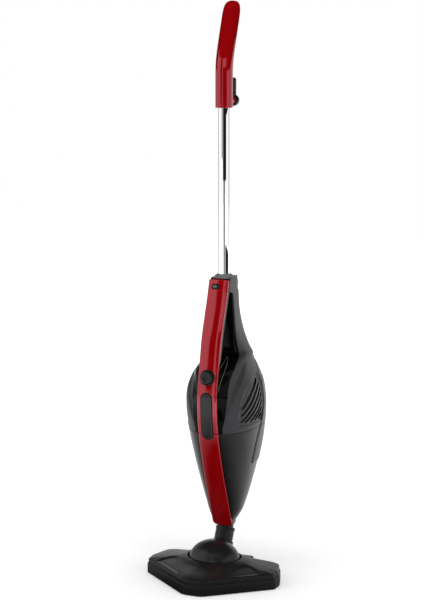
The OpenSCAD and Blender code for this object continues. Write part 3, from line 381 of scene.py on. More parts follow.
linerY = flowing([
    (300, -79), (314, -80.6), (326, -81.8), (338, -81.8), (350, -81.4), (365, -80.4), (376, -79.4), (388, -77.4),
    (400, -73.4), (412, -67.4), (420, -61.6), (428, -54.4), (434, -45.6), (440, -33.6), (446, -14), (450, 0),
    (456, 12), (475, 9.5), (505, 6.5), (535, 2.5), (565, -2), (579, -5), (586, -26.5), (600, -22.5), (612, -18.5)
])
coverY = flowing([
    (225, 6), (261, 8), (289, 13), (307, 20), (322, 25), (353, 30), (392, 31), (412, 38), (426, 52), (436, 68)
])
bodySize = {"seam": 307, "top": 611, "stripHalf": 21, "crown": 5, "wall": 2.3, "flange": 2.7, "gripDepth": 17}
seamGap = {"housing": 0.6, "cup": 0.4}
linerLook = {"gap": 0.15, "wall": 2.0, "leafBead": 0.8, "leafSteps": 30}


def power(v, p):
    return math.copysign(abs(v) ** p, v)


def section(z):
    a, n = halfW(z), squareN(z)
    w = min(bodySize["stripHalf"] + 0.3, a - 1.2)
    front, back = edgeY(z), backY(z)
    s = (1 - (w / a) ** n) ** (1 / n)
    b = (back - front) / (1 + s)
    return a, b, back - b, n, w


def angleAt(c, y):
    v = max(-1.0, min(1.0, (y - c[2]) / c[1]))
    return math.copysign(math.asin(abs(v) ** (c[3] / 2)), v)


def bodyPoint(z, u, y0, y1, lift=0.0):  # u from 0 at y0 to 1 at y1, along the right side
    c = section(z)
    a0, a1 = angleAt(c, y0), angleAt(c, y1)
    th = a0 + (a1 - a0) * u
    co, si = math.cos(th), math.sin(th)
    x, y = (c[0] + lift) * power(co, 2 / c[3]), c[2] + (c[1] + lift) * power(si, 2 / c[3])
    return x, y


def movedIn(c, x, y, d):  # a point of a section moved inwards by d
    nx, ny = x / c[0] ** 2, (y - c[2]) / c[1] ** 2
    k = math.hypot(nx, ny) or 1
    return x - d * nx / k, y - d * ny / k


def mirrored(bm):
    bmesh.ops.scale(bm, vec=(-1, 1, 1), verts=bm.verts)
    bmesh.ops.reverse_faces(bm, faces=bm.faces)
    return bm


print("curves ready")

# housing sides, with the scooped vent panel
# fades are (place, width) pairs
ventLook = {
    "scoop": 5.0, "step": 2.0, "slot": 7.0, "creaseFade": (5.5, 12), "topFade": (430, 54), "lowFade": (345, 40),
    "linerFade": (13, 24), "panelFade": (0.5, 1.4), "panelLow": (319, 3), "panelRear": 27, "rearWidth": 8
}
creaseLine = flowing([
    (-81.4, 326), (-79.5, 345), (-76.5, 358), (-72, 371.8), (-62.1, 389.2), (-44.8, 406.3), (-30.1, 417.5),
    (-10.8, 428.3), (8, 437), (25.1, 445.2), (40, 450)
])  # height by distance
ventEdge = [(13, 412.5), (-17, 405.6), (-42.6, 390), (-55, 372), (-59.6, 360), (-60, 343), (-60, 318)]
slotLines = [
    [(15, 405), (-1, 396), (-17, 386), (-37, 369), (-52, 354)],
    [(20, 396), (8, 388), (-7, 378), (-31, 358), (-53, 340)],
    [(23, 386), (11, 376), (-3, 366), (-29, 345), (-52, 327)],
    [(24, 374), (13, 364), (1, 354), (-21, 338), (-42, 325)],
    [(24, 360), (13, 349), (2, 340), (-13, 331), (-26, 324)],
    [(23, 346), (16, 340), (9, 334.5), (0, 329), (-9, 324)],
    [(22, 333), (18, 330.5), (14, 328), (11, 326), (8, 324)]
]


def stepTo(v, width):
    t = max(0.0, min(1.0, v / width + 0.5))
    return t * t * (3 - 2 * t)


def fade(v, key):
    place, width = ventLook[key]
    return stepTo(v - place, width)


def ventInside(y, z):  # distance inside the vent panel's outline, in millimetres
    best = 1e9
    for (y0, z0), (y1, z1) in zip(ventEdge, ventEdge[1:]):
        dy, dz = y1 - y0, z1 - z0
        t = max(0.0, min(1.0, ((y - y0) * dy + (z - z0) * dz) / (dy * dy + dz * dz)))
        ey, ez = y - y0 - t * dy, z - z0 - t * dz
        side = (dy * (z - z0) - dz * (y - y0)) / math.hypot(dy, dz)
        d = math.hypot(ey, ez)
        if d < abs(best):
            best = d if side > 0 else -d
    return best


def scoopDepth(y, z):  # the hollow between the crease and the strip
    above = z - creaseLine(max(-81.0, y))
    past = linerY(z) - y
    d = ventLook["scoop"] * fade(above, "creaseFade")
    return d * (1 - fade(z, "topFade")) * fade(z, "lowFade") * (1 - fade(past, "linerFade"))


def sideDent(y, z):
    inside = ventInside(y, z)
    rear = stepTo(ventLook["panelRear"] - y, ventLook["rearWidth"])
    return ventLook["step"] * fade(inside, "panelFade") * rear * fade(z, "panelLow") + scoopDepth(y, z)


sideLow, sideHigh = bodySize["seam"] + seamGap["housing"], bodySize["top"]
cupTop = bodySize["seam"] - seamGap["cup"]


def housingPlace(u, w):
    z = sideLow + (sideHigh - sideLow) * w
    x, y = bodyPoint(z, u, linerY(z) + linerLook["gap"], backY(z))
    d = sideDent(y, z)
    return at(*movedIn(section(z), x, y, d), z)


def slotShape(line, grow):
    up, down = [], []
    for k in range(5):
        a, b = Vector(line[max(0, k - 1)]), Vector(line[min(4, k + 1)])
        d = (b - a).normalized() * ventLook["slot"] / 2 * (0.7 if k in (0, 4) else 1) * grow
        p = Vector(line[k])
        up.append((p.x + d.y, p.y - d.x))
        down.append((p.x - d.y, p.y + d.x))
    return up + down[::-1]


outletLook = {"z": 595, "y": 33.9, "bore": 3.6, "tube": 6.85, "halfWide": 14, "halfHigh": 7.5, "hole": 7}
outletFrame = rearward(0, outletLook["y"], outletLook["z"])
for side, name in ((1, "housing_right"), (-1, "housing_left")):
    bm = gridSkin(112, 176, housingPlace)
    if side < 0:
        mirrored(bm)
    looks = ("housingGrey", "housing", "grey_matte", [name])
    shell = skinned("side_" + name[8:], bm, onAxis, bodySize["wall"], looks)
    # the slot walls are lined near-black: painted shade inside the vent slots
    for line in slotLines:
        cut(shell, outlinePrism(slotShape(line, 1), 40 * side, 95 * side, lambda c: at(c.z, c.x, c.y)), "innerBlackAndCutShade")
    cut(shell, turned(rod(outletLook["hole"], -12, 12), 40, outletFrame))
    settle(shell, 35)
print("housing sides made")


# gloss liner under the strip and round the grip
def frontPlace(low, high, edge, hollow=False):  # u runs from the left over the front to the right
    def place(u, w):
        z = low + (high - low) * w
        c = section(z)
        half = c[4]
        v = abs(u - 0.5) * 2
        share = 0.3
        if v <= share:
            x, y = half * v / share, flatY(z)
        else:
            t = (v - share) / (1 - share)
            a0 = -math.acos(min(1.0, (half / c[0]) ** (c[3] / 2)))
            a1 = angleAt(c, edge(z))
            th = a0 + (a1 - a0) * t
            x = c[0] * power(math.cos(th), 2 / c[3])
            y = c[2] + c[1] * power(math.sin(th), 2 / c[3])
            d = scoopDepth(y, z) if hollow else 0.0
            x, y = movedIn(c, x, y, d)
        return at(math.copysign(x, u - 0.5), y, z)
    return place


bm = gridSkin(72, 200, frontPlace(sideLow, sideHigh - 1, lambda z: linerY(z) - linerLook["gap"], True))
looks = ("blackGloss", "housing", "black_gloss", ["grip_liner"])
skinned("grip_liner_gloss", bm, onAxis, linerLook["wall"], looks, 45)


def bead(points, radius, sides=8):  # a thin raised line along points given in millimetres
    bm = bmesh.new()
    pts = [Vector(at(*p)) for p in points]
    rings = []
    for i, p in enumerate(pts):
        d = (pts[min(len(pts) - 1, i + 1)] - pts[max(0, i - 1)]).normalized()
        a = d.cross(Vector((0, 0, 1))).normalized()
        b = d.cross(a)
        r = radius / 1000 * (0.4 if i in (0, len(pts) - 1) else 1)
        rings.append([bm.verts.new(p + r * (a * math.cos(math.tau * k / sides)
            + b * math.sin(math.tau * k / sides))) for k in range(sides)])
    for one, two in zip(rings, rings[1:]):
        for k in range(sides):
            bm.faces.new((one[k], one[(k + 1) % sides], two[(k + 1) % sides], two[k]))
    bm.faces.new(rings[0])
    bm.faces.new(rings[-1])
    outward(bm)
    return bm


leafLines = {
    "outer": [(22.7, -87.2, 394.1), (25, -83.5, 408), (27.5, -79.1, 421), (29.9, -73.6, 430.5),
        (28.1, -59.5, 439.4), (22.7, -38.3, 445.1), (16.2, -20.4, 448.5), (10.4, -10.8, 450.6)],
    "inner": [(21, -78.3, 435.5), (19.6, -63.3, 439.9), (17.9, -46.9, 443.9), (13.7, -26.4, 447.3),
        (10.4, -10.8, 450.6)],
}
# the leaf beads are real raised ridges; their pale grey colour is a painted highlight along them
for s, side in ((1, "right"), (-1, "left")):
    for name, line in leafLines.items():
        run = [sum(math.dist(a, b) for a, b in zip(line[:k], line[1:k + 1])) for k in range(len(line))]
        along = [flowing([(t, p[axis]) for t, p in zip(run, line)]) for axis in range(3)]
        steps = [run[-1] * k / linerLook["leafSteps"] for k in range(linerLook["leafSteps"] + 1)]
        bm = bead([(s * along[0](t), along[1](t), along[2](t)) for t in steps], linerLook["leafBead"])
        settle(piece("leaf_" + name + "_" + side, bm, "leafPaintedHighlight", "housing", "black_gloss"), 60)

# red strip
stripLook = {
    "wall": 2.0, "edge": 0.08, "fullness": 0.75, "topGap": 2.2, "topCorner": 1.6, "cupLow": 98.4, "cupCorner": 7,
    "soft": 0.35
}


def stripPlace(low, high, cornerLow=0.0, cornerHigh=0.0):  # the corners draw in towards the ends
    def place(u, w):
        half, crown, flange, edge = bodySize["stripHalf"], bodySize["crown"], bodySize["flange"], stripLook["edge"]
        th = math.pi * (1 - max(0.0, min(1.0, (u - edge) / (1 - 2 * edge))))
        across = abs(math.cos(th)) ** 5
        z = low + cornerLow * across + (high - cornerHigh * across - low - cornerLow * across) * w
        y = stripY(z)
        if u < edge:
            return at(-half, y + flange * (1 - u / edge), z)
        if u > 1 - edge:
            return at(half, y + flange * (u - 1 + edge) / edge, z)
        return at(half * math.cos(th), y - crown * math.sin(th) ** stripLook["fullness"], z)
    return place


def stadium(width, low, high, steps=20):
    r, out = width / 2, []
    for start, middle in ((0, high - r), (math.pi, low + r)):
        turns = [start + math.pi * k / steps for k in range(steps + 1)]
        out += [(r * math.cos(turn), middle + r * math.sin(turn)) for turn in turns]
    return out


def stripFrame(z, x=0.0):  # a frame on the strip's crown, its Z pointing out of it
    slope = (stripY(z + 8) - stripY(z - 8)) / 16
    return frameAt(at(x, stripY(z) - bodySize["crown"], z), math.pi / 2 - math.atan(slope), "X")


def stripFront(p):
    return Vector((0, p.y + 0.03, p.z))


latchSize = {"width": 23.4, "low": 296, "high": 391, "gap": 1.2}
lockSize = {"z": 595, "x": -3.6, "wide": 15, "high": 8.6, "gap": 1.6}
powerSize = {"z": 421, "bezel": 16, "button": 12.6}


def latchCutter(grow):
    return outlinePrism(stadium(latchSize["width"] + 2 * grow, latchSize["low"] - grow, latchSize["high"] + grow),
        -130, -60, lambda c: at(c.x, c.z, c.y))


bm = gridSkin(56, 150, stripPlace(sideLow, bodySize["top"] - stripLook["topGap"], 0, stripLook["topCorner"]))
looks = ("redGloss", "housing", "red_gloss", ["front_strip"])
strip = skinned("strip_upper", bm, stripFront, stripLook["wall"], looks)
# the gap round the latch is lined near-black: painted shade
cut(strip, latchCutter(latchSize["gap"]), "innerBlackAndCutShade")
cut(strip, turned(rod(powerSize["bezel"] - 1.7, -12, 14), 64, stripFrame(powerSize["z"])))
wide, gap = lockSize["wide"] / 2 + lockSize["gap"], lockSize["gap"]
lockOval = [(y, x) for x, y in stadium(lockSize["high"] + 2 * gap, -wide, wide)]
lockCut = outlinePrism(lockOval, -12, 12, lambda c: stripFrame(lockSize["z"], lockSize["x"]) @ (Vector(c) / 1000))
# the gap round the lock is lined near-black: painted shade
cut(strip, lockCut, "innerBlackAndCutShade")
settle(strip, 35, stripLook["soft"])

bm = gridSkin(56, 110, stripPlace(stripLook["cupLow"], cupTop, stripLook["cupCorner"]))
looks = ("redGloss", "cup", "red_gloss", ["cup_strip"])
cupStrip = skinned("strip_cup", bm, stripFront, stripLook["wall"], looks)
# the gap round the latch on the cup strip is lined near-black: painted shade
cut(cupStrip, latchCutter(latchSize["gap"]), "innerBlackAndCutShade")
settle(cupStrip, 35, stripLook["soft"])
print("strip made")

# grip bar behind the upper strip
barLook = {"low": 432.6, "high": 585.6, "gap": 0.3, "thin": 0.02, "wall": 2.0}
barEnds = flowing([(0, 8.2), (0.09, 4), (0.16, 0), (0.9, 0), (1, -8)])


def barPlace(u, w):
    z = barLook["low"] + (barLook["high"] - barLook["low"]) * w
    y = stripY(z) + bodySize["flange"] + barLook["gap"]
    depth = bodySize["gripDepth"] - bodySize["flange"] - barLook["gap"]
    th = math.pi * u
    back = depth * (barLook["thin"] + (1 - barLook["thin"]) * math.sin(th) ** 0.5)
    return at(bodySize["stripHalf"] * power(math.cos(th), 0.5), y + back,
        z + barEnds(w) * back / bodySize["gripDepth"])


bm = gridSkin(40, 90, barPlace)
looks = ("blackGloss", "housing", "black_gloss", ["grip_bar"])
skinned("grip_bar_shell", bm, lambda p: Vector((0, p.y - 0.02, p.z)), barLook["wall"], looks, 45)

# rear covers
rearLook = {
    "lift": 1.75, "fall": 1.15, "fallAt": 405, "fallOver": 50, "brim": 0.97, "rim": 0.6, "top": 432,
    "cupLow": 230
}


def rearPlace(low, high):
    def place(u, w):
        z = low + (high - low) * w
        v = abs(u - 0.5) * 2
        lift = rearLook["lift"] - rearLook["fall"] * stepTo(z - rearLook["fallAt"], rearLook["fallOver"])
        brim = rearLook["brim"]
        rise = lift if v < brim else lift - (lift - rearLook["rim"]) * (v - brim) / (1 - brim)
        x, y = bodyPoint(z, 1 - v, coverY(z), backY(z), rise)
        return at(math.copysign(x, u - 0.5), y, z)
    return place


for name, low, high, body, wall in (
        ("rear_cover", sideLow, rearLook["top"], "housing", 0.5),
        ("cup_rear_cover", rearLook["cupLow"], cupTop, "cup", 1.2)):
    bm = gridSkin(96, 60, rearPlace(low, high))
    skinned(name + "_panel", bm, onAxis, wall, ("blackSatin", body, "black_matte", [name]), 35, 0.2)
print("rear covers made")

# dust cup
cupLook = {"low": 98, "nozzle": 15.5, "nozzleWall": 2.4, "nozzleLow": -5.4, "nozzleHigh": 44, "soft": 0.35}
neckPlace = {"y": 1, "z": 76, "lean": -30}
neckFrame = frameAt(at(0, neckPlace["y"], neckPlace["z"]), math.radians(neckPlace["lean"]), "X")
bm = gridSkin(150, 110, frontPlace(cupLook["low"], cupTop, backY), seam=True)
faceOut(bm, onAxis)
bottom = [e for e in bm.edges if e.is_boundary and max(v.co.z for v in e.verts) < (cupLook["low"] + 0.5) / 1000]
bmesh.ops.contextual_create(bm, geom=bottom)
cup = piece("dust_cup_shell", bm, "cupGrey", "cup", "cup_grey", ["dust_cup"])
thicken(cup, bodySize["wall"])
settle(cup)
cut(cup, turned(rod(cupLook["nozzle"] - 0.2, -30, 40), 64, neckFrame))
settle(cup, 35, cupLook["soft"], angle=55)
nozzleWall = tubeWall(cupLook["nozzle"] - cupLook["nozzleWall"], cupLook["nozzle"], cupLook["nozzleLow"],
    cupLook["nozzleHigh"])
lathe("cup_nozzle", nozzleWall, (64, 0.5, 38, neckFrame), "cupGrey", "cup", "cup_grey")
print("dust cup made")

# handle
handleLook = {
    "width": 33, "depth": 36, "wall": 2.2, "square": 2.35, "tipFrom": 0.86, "tipPower": 1.6, "tipShift": 0.4,
    "shiftMost": 0.56, "splitGap": 0.012, "bendFrom": 1033, "bendSlope": 0.39
}
handleRows = [
    (946, 0, 0, 1), (985, 0, 0, 1), (1016, 0.2, 3, 1), (1033, 2, 11, 1), (1049, 6.3, 18, 1), (1070, 14, 21, 1),
    (1096, 24.1, 21.5, 1), (1118, 32.9, 21.5, 1), (1131, 38, 21.5, 0.985), (1140, 41.6, 21.5, 0.93),
    (1147, 44.3, 21.5, 0.82), (1151.6, 46.1, 21.5, 0.66), (1154.3, 47.2, 21.5, 0.46), (1155.3, 47.6, 21.5, 0.02)
]
arcs = [0.0]
for a, b in zip(handleRows, handleRows[1:]):
    arcs.append(arcs[-1] + math.hypot(b[0] - a[0], b[1] - a[1]))
handleZ, handleY, handleLean, handleScale = [flowing([(s, r[k]) for s, r in zip(arcs, handleRows)]) for k in range(4)]


def handlePlace(a0, a1):
    def place(u, w):
        t = handleLook["tipFrom"]
        s = arcs[-1] * (w if w < t else t + (1 - t) * (1 - (1 - (w - t) / (1 - t)) ** handleLook["tipPower"]))
        th = a0 + (a1 - a0) * u
        e = 2 / handleLook["square"]
        k = max(0.0, handleScale(s))
        x = handleLook["width"] / 2 * k * power(math.cos(th), e)
        shift = min(1 - k, handleLook["shiftMost"]) * handleLook["depth"] * handleLook["tipShift"]
        d = handleLook["depth"] / 2 * k * power(math.sin(th), e) + shift
        lean = math.radians(handleLean(s))
        return at(x, handleY(s) + d * math.cos(lean), handleZ(s) - d * math.sin(lean))
    return place


def onHandle(p):
    z = p.z * 1000
    y = max(0, (z - handleLook["bendFrom"]) * handleLook["bendSlope"])
    return Vector((0, at(0, y, 0).y, p.z))


split = handleLook["splitGap"]
for name, a0, a1 in (("front", math.pi + split, math.tau - split), ("rear", split, math.pi - split)):
    bm = gridSkin(36, 130, handlePlace(a0, a1))
    bmesh.ops.remove_doubles(bm, verts=bm.verts, dist=1e-5)
    looks = ("redGloss", "upper_tube", "red_gloss", ["handle_" + name])
    skinned("handle_shell_" + name, bm, onHandle, handleLook["wall"], looks, 40, 0.35)
bossLook = {"radius": 8, "near": 16.4, "far": 43.7, "z": 959.5}
bossProfile = rod(bossLook["radius"], bossLook["near"], bossLook["far"])
lathe("hook_boss", bossProfile, (48, 0.5, 38, rearward(0, 0, bossLook["z"])), "redGloss", "upper_tube", "red_gloss")
print("handle made")

# cord hook
hookLook = {
    "z": 959.5, "near": 44, "thick": 9, "radius": 11.5, "arm": 40, "armHalf": 5, "from": 115, "to": 425,
    "holes": ((6.1, 6), (3.1, 20))
}
outline = []
for k in range(41):
    th = math.radians(hookLook["from"] + (hookLook["to"] - hookLook["from"]) * k / 40)
    outline.append((hookLook["radius"] * math.cos(th), hookLook["radius"] * math.sin(th)))
armTop = [(hookLook["armHalf"] * math.cos(math.radians(180 * k / 16)),
    hookLook["arm"] + hookLook["armHalf"] * math.sin(math.radians(180 * k / 16))) for k in range(17)]
outline = outline + armTop
bm = outlinePrism(outline, hookLook["near"], hookLook["near"] + hookLook["thick"],
    lambda c: at(c.x, c.z, hookLook["z"] + c.y))
hook = piece("cord_hook_arm", bm, "blackSatin", "hook", "black_matte", ["cord_hook"])
for hole, depth in hookLook["holes"]:
    cut(hook, turned(rod(hole, -depth, 3), 40, rearward(0, hookLook["near"] + hookLook["thick"], hookLook["z"])))
settle(hook, 40, 0.8, 3)
print("cord hook made")

# tube, collar and bush
tubeLook = {"radius": 12, "wall": 0.8}
axis = Matrix.Translation(at(0, 0, 0))
steelWall = tubeWall(tubeLook["radius"] - tubeLook["wall"], tubeLook["radius"], tubeLow.z * 1000, tubeHigh.z * 1000)
lathe("steel_tube", steelWall, (96, 0.25, 50, axis), "chrome", "upper_tube", "chrome", ["chrome_tube"])
collarLook = {"bore": 12.05, "sleeve": 14.6, "rim": 20, "inside": 588, "top": 616.6}
bore, sleeve, edge, inside, top = collarLook.values()
collarProfile = [
    (bore, inside), (sleeve, inside), (sleeve, 609), (edge - 0.6, 609.6), (edge, 611), (edge, 611.4),
    (18.6, 613.4), (16.8, 615.2), (sleeve, top), (12.9, top), (bore, 615.6), (bore, inside)
]
lathe("tube_collar_ring", collarProfile, (88, 0.9, 38, axis), "paleGrey", "housing", "pale_grey", ["tube_collar"], 4)
rimLook = {
    "inner": 18.5, "innerZ": 611, "edge": 608, "top": 611.2, "fall": 1.2, "sideShare": 0.9, "depthShare": 0.93,
    "wall": 4
}


def rimPlace(u, w):  # the grey top round the collar
    base = frontPlace(rimLook["edge"], rimLook["edge"] + 1, backY)(u, 0)
    turn = math.tau * (u - 0.5)
    inner = at(rimLook["inner"] * math.sin(turn), -rimLook["inner"] * math.cos(turn), rimLook["innerZ"])
    x = inner.x + (base.x * rimLook["sideShare"] - inner.x) * w
    y = inner.y + (base.y - inner.y) * w * rimLook["depthShare"]
    return Vector((x, y, (rimLook["top"] - rimLook["fall"] * w ** 3) / 1000))


bm = gridSkin(96, 8, rimPlace, seam=True)
looks = ("paleGrey", "housing", "pale_grey")
skinned("collar_plate", bm, lambda p: p - Vector((0, 0, 1)), rimLook["wall"], looks, 45)
print("tube and collar made")

# power button and its bezel
inner, outer = powerSize["button"], powerSize["bezel"]
powerFrame = stripFrame(powerSize["z"])
bezelProfile = [
    (inner + 0.4, -2), (inner + 0.4, 1.9), (outer - 1.2, 2.5), (outer, 1.2), (outer, 0.2), (outer - 2, 0.2),
    (outer - 2, -3.4), (8.6, -3.4), (8.6, -18.6), (5.05, -18.6), (5.05, -2), (inner + 0.4, -2)
]
lathe("power_ring", bezelProfile, (72, 0.5, 38, powerFrame), "blackSatin", "housing", "black_gloss", ["power_bezel"])
knobProfile = [
    (0, -15.5), (5, -15.5), (5, 0.8), (inner, 0.8), (inner, 5.4), (inner - 1.2, 6.6), (8.2, 6.9), (7.6, 6.3),
    (0, 6.0)
]
lathe("power_knob", knobProfile, (72, 0.4, 50, powerFrame), "latchBlack", "button", "black_gloss", ["power_button"])


# cup latch: a long oval with a raised rim
def ovalCap(width, low, high, rings, place):  # rings are (inset, depth) pairs, closed along the middle at both ends
    r = width / 2
    outline, line = stadium(width, low, high, 24), []
    for a, b in zip(outline, outline[1:] + outline[:1]):
        m = max(1, math.ceil(math.dist(a, b) / 3))
        line += [(a[0] + (b[0] - a[0]) * k / m, a[1] + (b[1] - a[1]) * k / m) for k in range(m)]
    bm = bmesh.new()
    rows = []
    for inset, depth in [(r, rings[0][1])] + rings + [(r, rings[-1][1])]:
        row = []
        for x, z in line:
            spine = max(low + r, min(high - r, z))
            k = max(0.0005, 1 - inset / r)
            row.append(bm.verts.new(place(x * k, spine + (z - spine) * k, depth)))
        rows.append(row)
    for one, two in zip(rows, rows[1:]):
        for k in range(len(line)):
            bm.faces.new((one[k - 1], one[k], two[k], two[k - 1]))
    bmesh.ops.remove_doubles(bm, verts=bm.verts, dist=2e-5)
    outward(bm)
    return bm


latchRings = [
    (0, -2.6), (0, 0.2), (0.25, 0.75), (0.8, 1.1), (1.5, 1.15), (2.1, 0.8), (2.5, 0.35), (3.2, 0.3), (5.4, 0.55),
    (8, 0.75), (10.6, 0.85)
]


def latchSpot(x, z, d):
    return at(x, stripY(z) - bodySize["crown"] - d, z)


bm = ovalCap(latchSize["width"], latchSize["low"], latchSize["high"], latchRings, latchSpot)
settle(piece("latch_cap", bm, "latchBlack", "latch", "black_gloss", ["cup_latch"]), 40)

# tube lock button
lockTurn = stripFrame(lockSize["z"], lockSize["x"])
half = lockSize["wide"] / 2


def lockPlace(x, z, d):
    return lockTurn @ Vector((z / 1000, x / 1000, d / 1000))


bm = ovalCap(lockSize["high"], -half, half, [(0, -3.5), (0, -0.3), (0.3, 0)], lockPlace)
settle(piece("lock_plate", bm, "latchBlack", "lock", "grey_matte", ["tube_lock"]), 40)
bm = ovalCap(lockSize["high"] - 1.6, -half + 0.8, 2.4, [(0, -3), (0, 0), (0.3, 0.4), (0.9, 0.5), (1.4, 0.3)],
    lockPlace)
settle(piece("lock_pad", bm, "lockGrey", "lock", "grey_matte"), 40)
print("buttons made")

# cord outlet at the back
plate = []
for k in range(48):
    th = math.tau * k / 48
    plate.append(((outletLook["halfWide"] - 0.05) * power(math.cos(th), 0.35),
        (outletLook["halfHigh"] - 0.05) * power(math.sin(th), 0.35)))
bm = outlinePrism(plate, 0.35, 7.9, lambda c: outletFrame @ (Vector(c) / 1000))
gland = piece("outlet_plate", bm, "blackSatin", "housing", "black_matte", ["cord_outlet"])
cut(gland, turned(rod(outletLook["tube"] - 0.1, -8, 12), 48, outletFrame))
settle(gland, 40, 0.9, 3)
bore, out = outletLook["bore"], outletLook["tube"]
outletProfile = [(bore, -5.9), (out, -5.9), (out, 9.9), (bore + 1.6, 9.9), (bore, 8.4), (bore, -5.9)]
lathe("outlet_tube", outletProfile, (56, 0.5, 50, outletFrame), "rubber", "housing", "black_matte")
print("outlet made")

# neck
neckLook = {
    "out": 19, "top": 15, "journal": 17, "journalTop": -13, "journalLow": -34, "socket": 15.6, "bore": 13.1,
    "socketLow": -6
}
out, top, journal, journalTop, journalLow, socket, bore, socketLow = neckLook.values()
neckProfile = [
    (bore, journalLow), (journal, journalLow), (journal, journalTop), (out, journalTop), (out, 9.4),
    (out - 0.7, 9.8), (out - 0.7, 10), (out, 10), (out, top), (socket, top), (socket, socketLow),
    (bore, socketLow), (bore, journalLow)
]
lathe("neck_tube", neckProfile, (88, 0.6, 45, neckFrame), "headGrey", "neck", "cup_grey", ["neck"])
bandLook = {"inner": 19.02, "outer": 20, "low": 10.05, "high": 14.35}
lathe("neck_band", tubeWall(*bandLook.values()), (88, 0.45, 50, neckFrame), "blackSatin", "neck", "cup_grey",
    ["neck_ring"])

# knuckle: a dome that tilts in the head
knuckleLook = {
    "y": -52, "z": 36, "radius": 43.9, "half": 53.9, "wall": 2.5, "boss": 21.3, "pin": 3.5, "cutHalf": 47,
    "cutSize": 70, "trim": 19.9, "bossLow": -35, "bossHigh": -13.5
}
middle = at(0, knuckleLook["y"], knuckleLook["z"])
bm = bmesh.new()
bmesh.ops.create_uvsphere(bm, u_segments=112, v_segments=64, radius=0.001)
bmesh.ops.rotate(bm, cent=(0, 0, 0), matrix=Matrix.Rotation(math.pi / 2, 3, "Y"), verts=bm.verts)
bmesh.ops.scale(bm, vec=(knuckleLook["half"], knuckleLook["radius"], knuckleLook["radius"]), verts=bm.verts)
bmesh.ops.translate(bm, vec=middle, verts=bm.verts)
bmesh.ops.bisect_plane(bm, geom=bm.verts[:] + bm.edges[:] + bm.faces[:],
    plane_co=middle - Vector((0, 0, knuckleLook["trim"] / 1000)), plane_no=(0, 0, 1), clear_inner=True)
knuckle = piece("knuckle_dome", bm, "domeGrey", "knuckle", "cup_grey", ["knuckle"])
thicken(knuckle, knuckleLook["wall"])
settle(knuckle)
cut(knuckle, turned(rod(neckLook["journal"] + 0.5, -62, 10), 72, neckFrame))
cut(knuckle, block((-knuckleLook["cutHalf"], knuckleLook["y"], knuckleLook["z"] - knuckleLook["cutSize"]),
    (knuckleLook["cutHalf"], knuckleLook["y"] + knuckleLook["cutSize"], knuckleLook["z"])))
settle(knuckle, 35, 0.5, angle=45)
socketWall = tubeWall(neckLook["journal"] + 0.1, knuckleLook["boss"], knuckleLook["bossLow"], knuckleLook["bossHigh"])
lathe("knuckle_collar", socketWall, (88, 0.9, 45, neckFrame), "headGrey", "knuckle", "cup_grey", steps=4)
pinLow, pinHigh = knuckleLook["half"] - 5, knuckleLook["half"] + 7
pinProfile = rod(knuckleLook["pin"], pinLow, pinHigh)
for s, name in ((1, "right"), (-1, "left")):
    turn = frameAt(middle, s * math.pi / 2, "Y")
    lathe("knuckle_pin_" + name, pinProfile, (40, 0.5, 50, turn), "steel", "knuckle", "cup_grey")
print("neck and knuckle made")

# floor head
headPoints = [
    (-20, -171.5), (20, -171.5), (139, -77), (141, -53), (126.5, -7), (64, -2.5), (-64, -2.5), (-126.5, -7),
    (-141, -53), (-139, -77)
]
headRounds = [26, 26, 8, 14, 12, 6, 6, 12, 14, 8]
headLook = {
    "corner": 12, "step": 2.2, "apertureX": 56.6, "apertureY": 46.6, "middle": -52, "slotHalf": 26,
    "slotFront": -23, "podInner": 32.7, "podOuter": 55.3, "podFront": -17.1, "podTop": 32
}


def roundedPoints(points, rounds, steps):
    out = []
    for i in range(len(points)):
        a, b, c = Vector(points[i - 1]), Vector(points[i]), Vector(points[(i + 1) % len(points)])
        u, v = (a - b).normalized(), (c - b).normalized()
        half = math.acos(max(-1, min(1, u.dot(v)))) / 2
        r = rounds[i]
        cc = b + (u + v).normalized() * r / math.sin(half)
        p0, p1 = b + u * r / math.tan(half), b + v * r / math.tan(half)
        g0, g1 = math.atan2(p0.y - cc.y, p0.x - cc.x), math.atan2(p1.y - cc.y, p1.x - cc.x)
        dg = (g1 - g0 + 3 * math.pi) % math.tau - math.pi
        out += [cc + r * Vector((math.cos(g0 + dg * j / steps), math.sin(g0 + dg * j / steps)))
            for j in range(steps + 1)]
    return out


def densePoints(points, step):
    out = []
    for i, a in enumerate(points):
        b = points[(i + 1) % len(points)]
        m = max(1, math.ceil((b - a).length / step))
        out += [a + (b - a) * j / m for j in range(m)]
    return out


headRef = densePoints(roundedPoints([Vector(p) for p in headPoints], headRounds, headLook["corner"]),
    headLook["step"])


def loopSkin(rows, closed=False):  # skins a list of closed loops of equal length
    bm = bmesh.new()
    count = len(rows[0])
    edges = []
    for row in rows:
        verts = [bm.verts.new(at(*p)) for p in row]
        edges.append([bm.edges.new((verts[i], verts[(i + 1) % count])) for i in range(count)])
    for a, b in zip(edges, edges[1:] + ([edges[0]] if closed else [])):
        bmesh.ops.bridge_loops(bm, edges=a + b)
    outward(bm)
    return bm


def headSlots(obj, rear):
    inner, outer, front, top = headLook["podInner"], headLook["podOuter"], headLook["podFront"], headLook["podTop"]
    boxes = [((-headLook["slotHalf"], headLook["slotFront"], -5), (headLook["slotHalf"], 60, 90)),
             ((inner, front, -5), (outer, 60, top)), ((-outer, front, -5), (-inner, 60, top))]
    for low, high in boxes + rear:
        cut(obj, block(low, high))


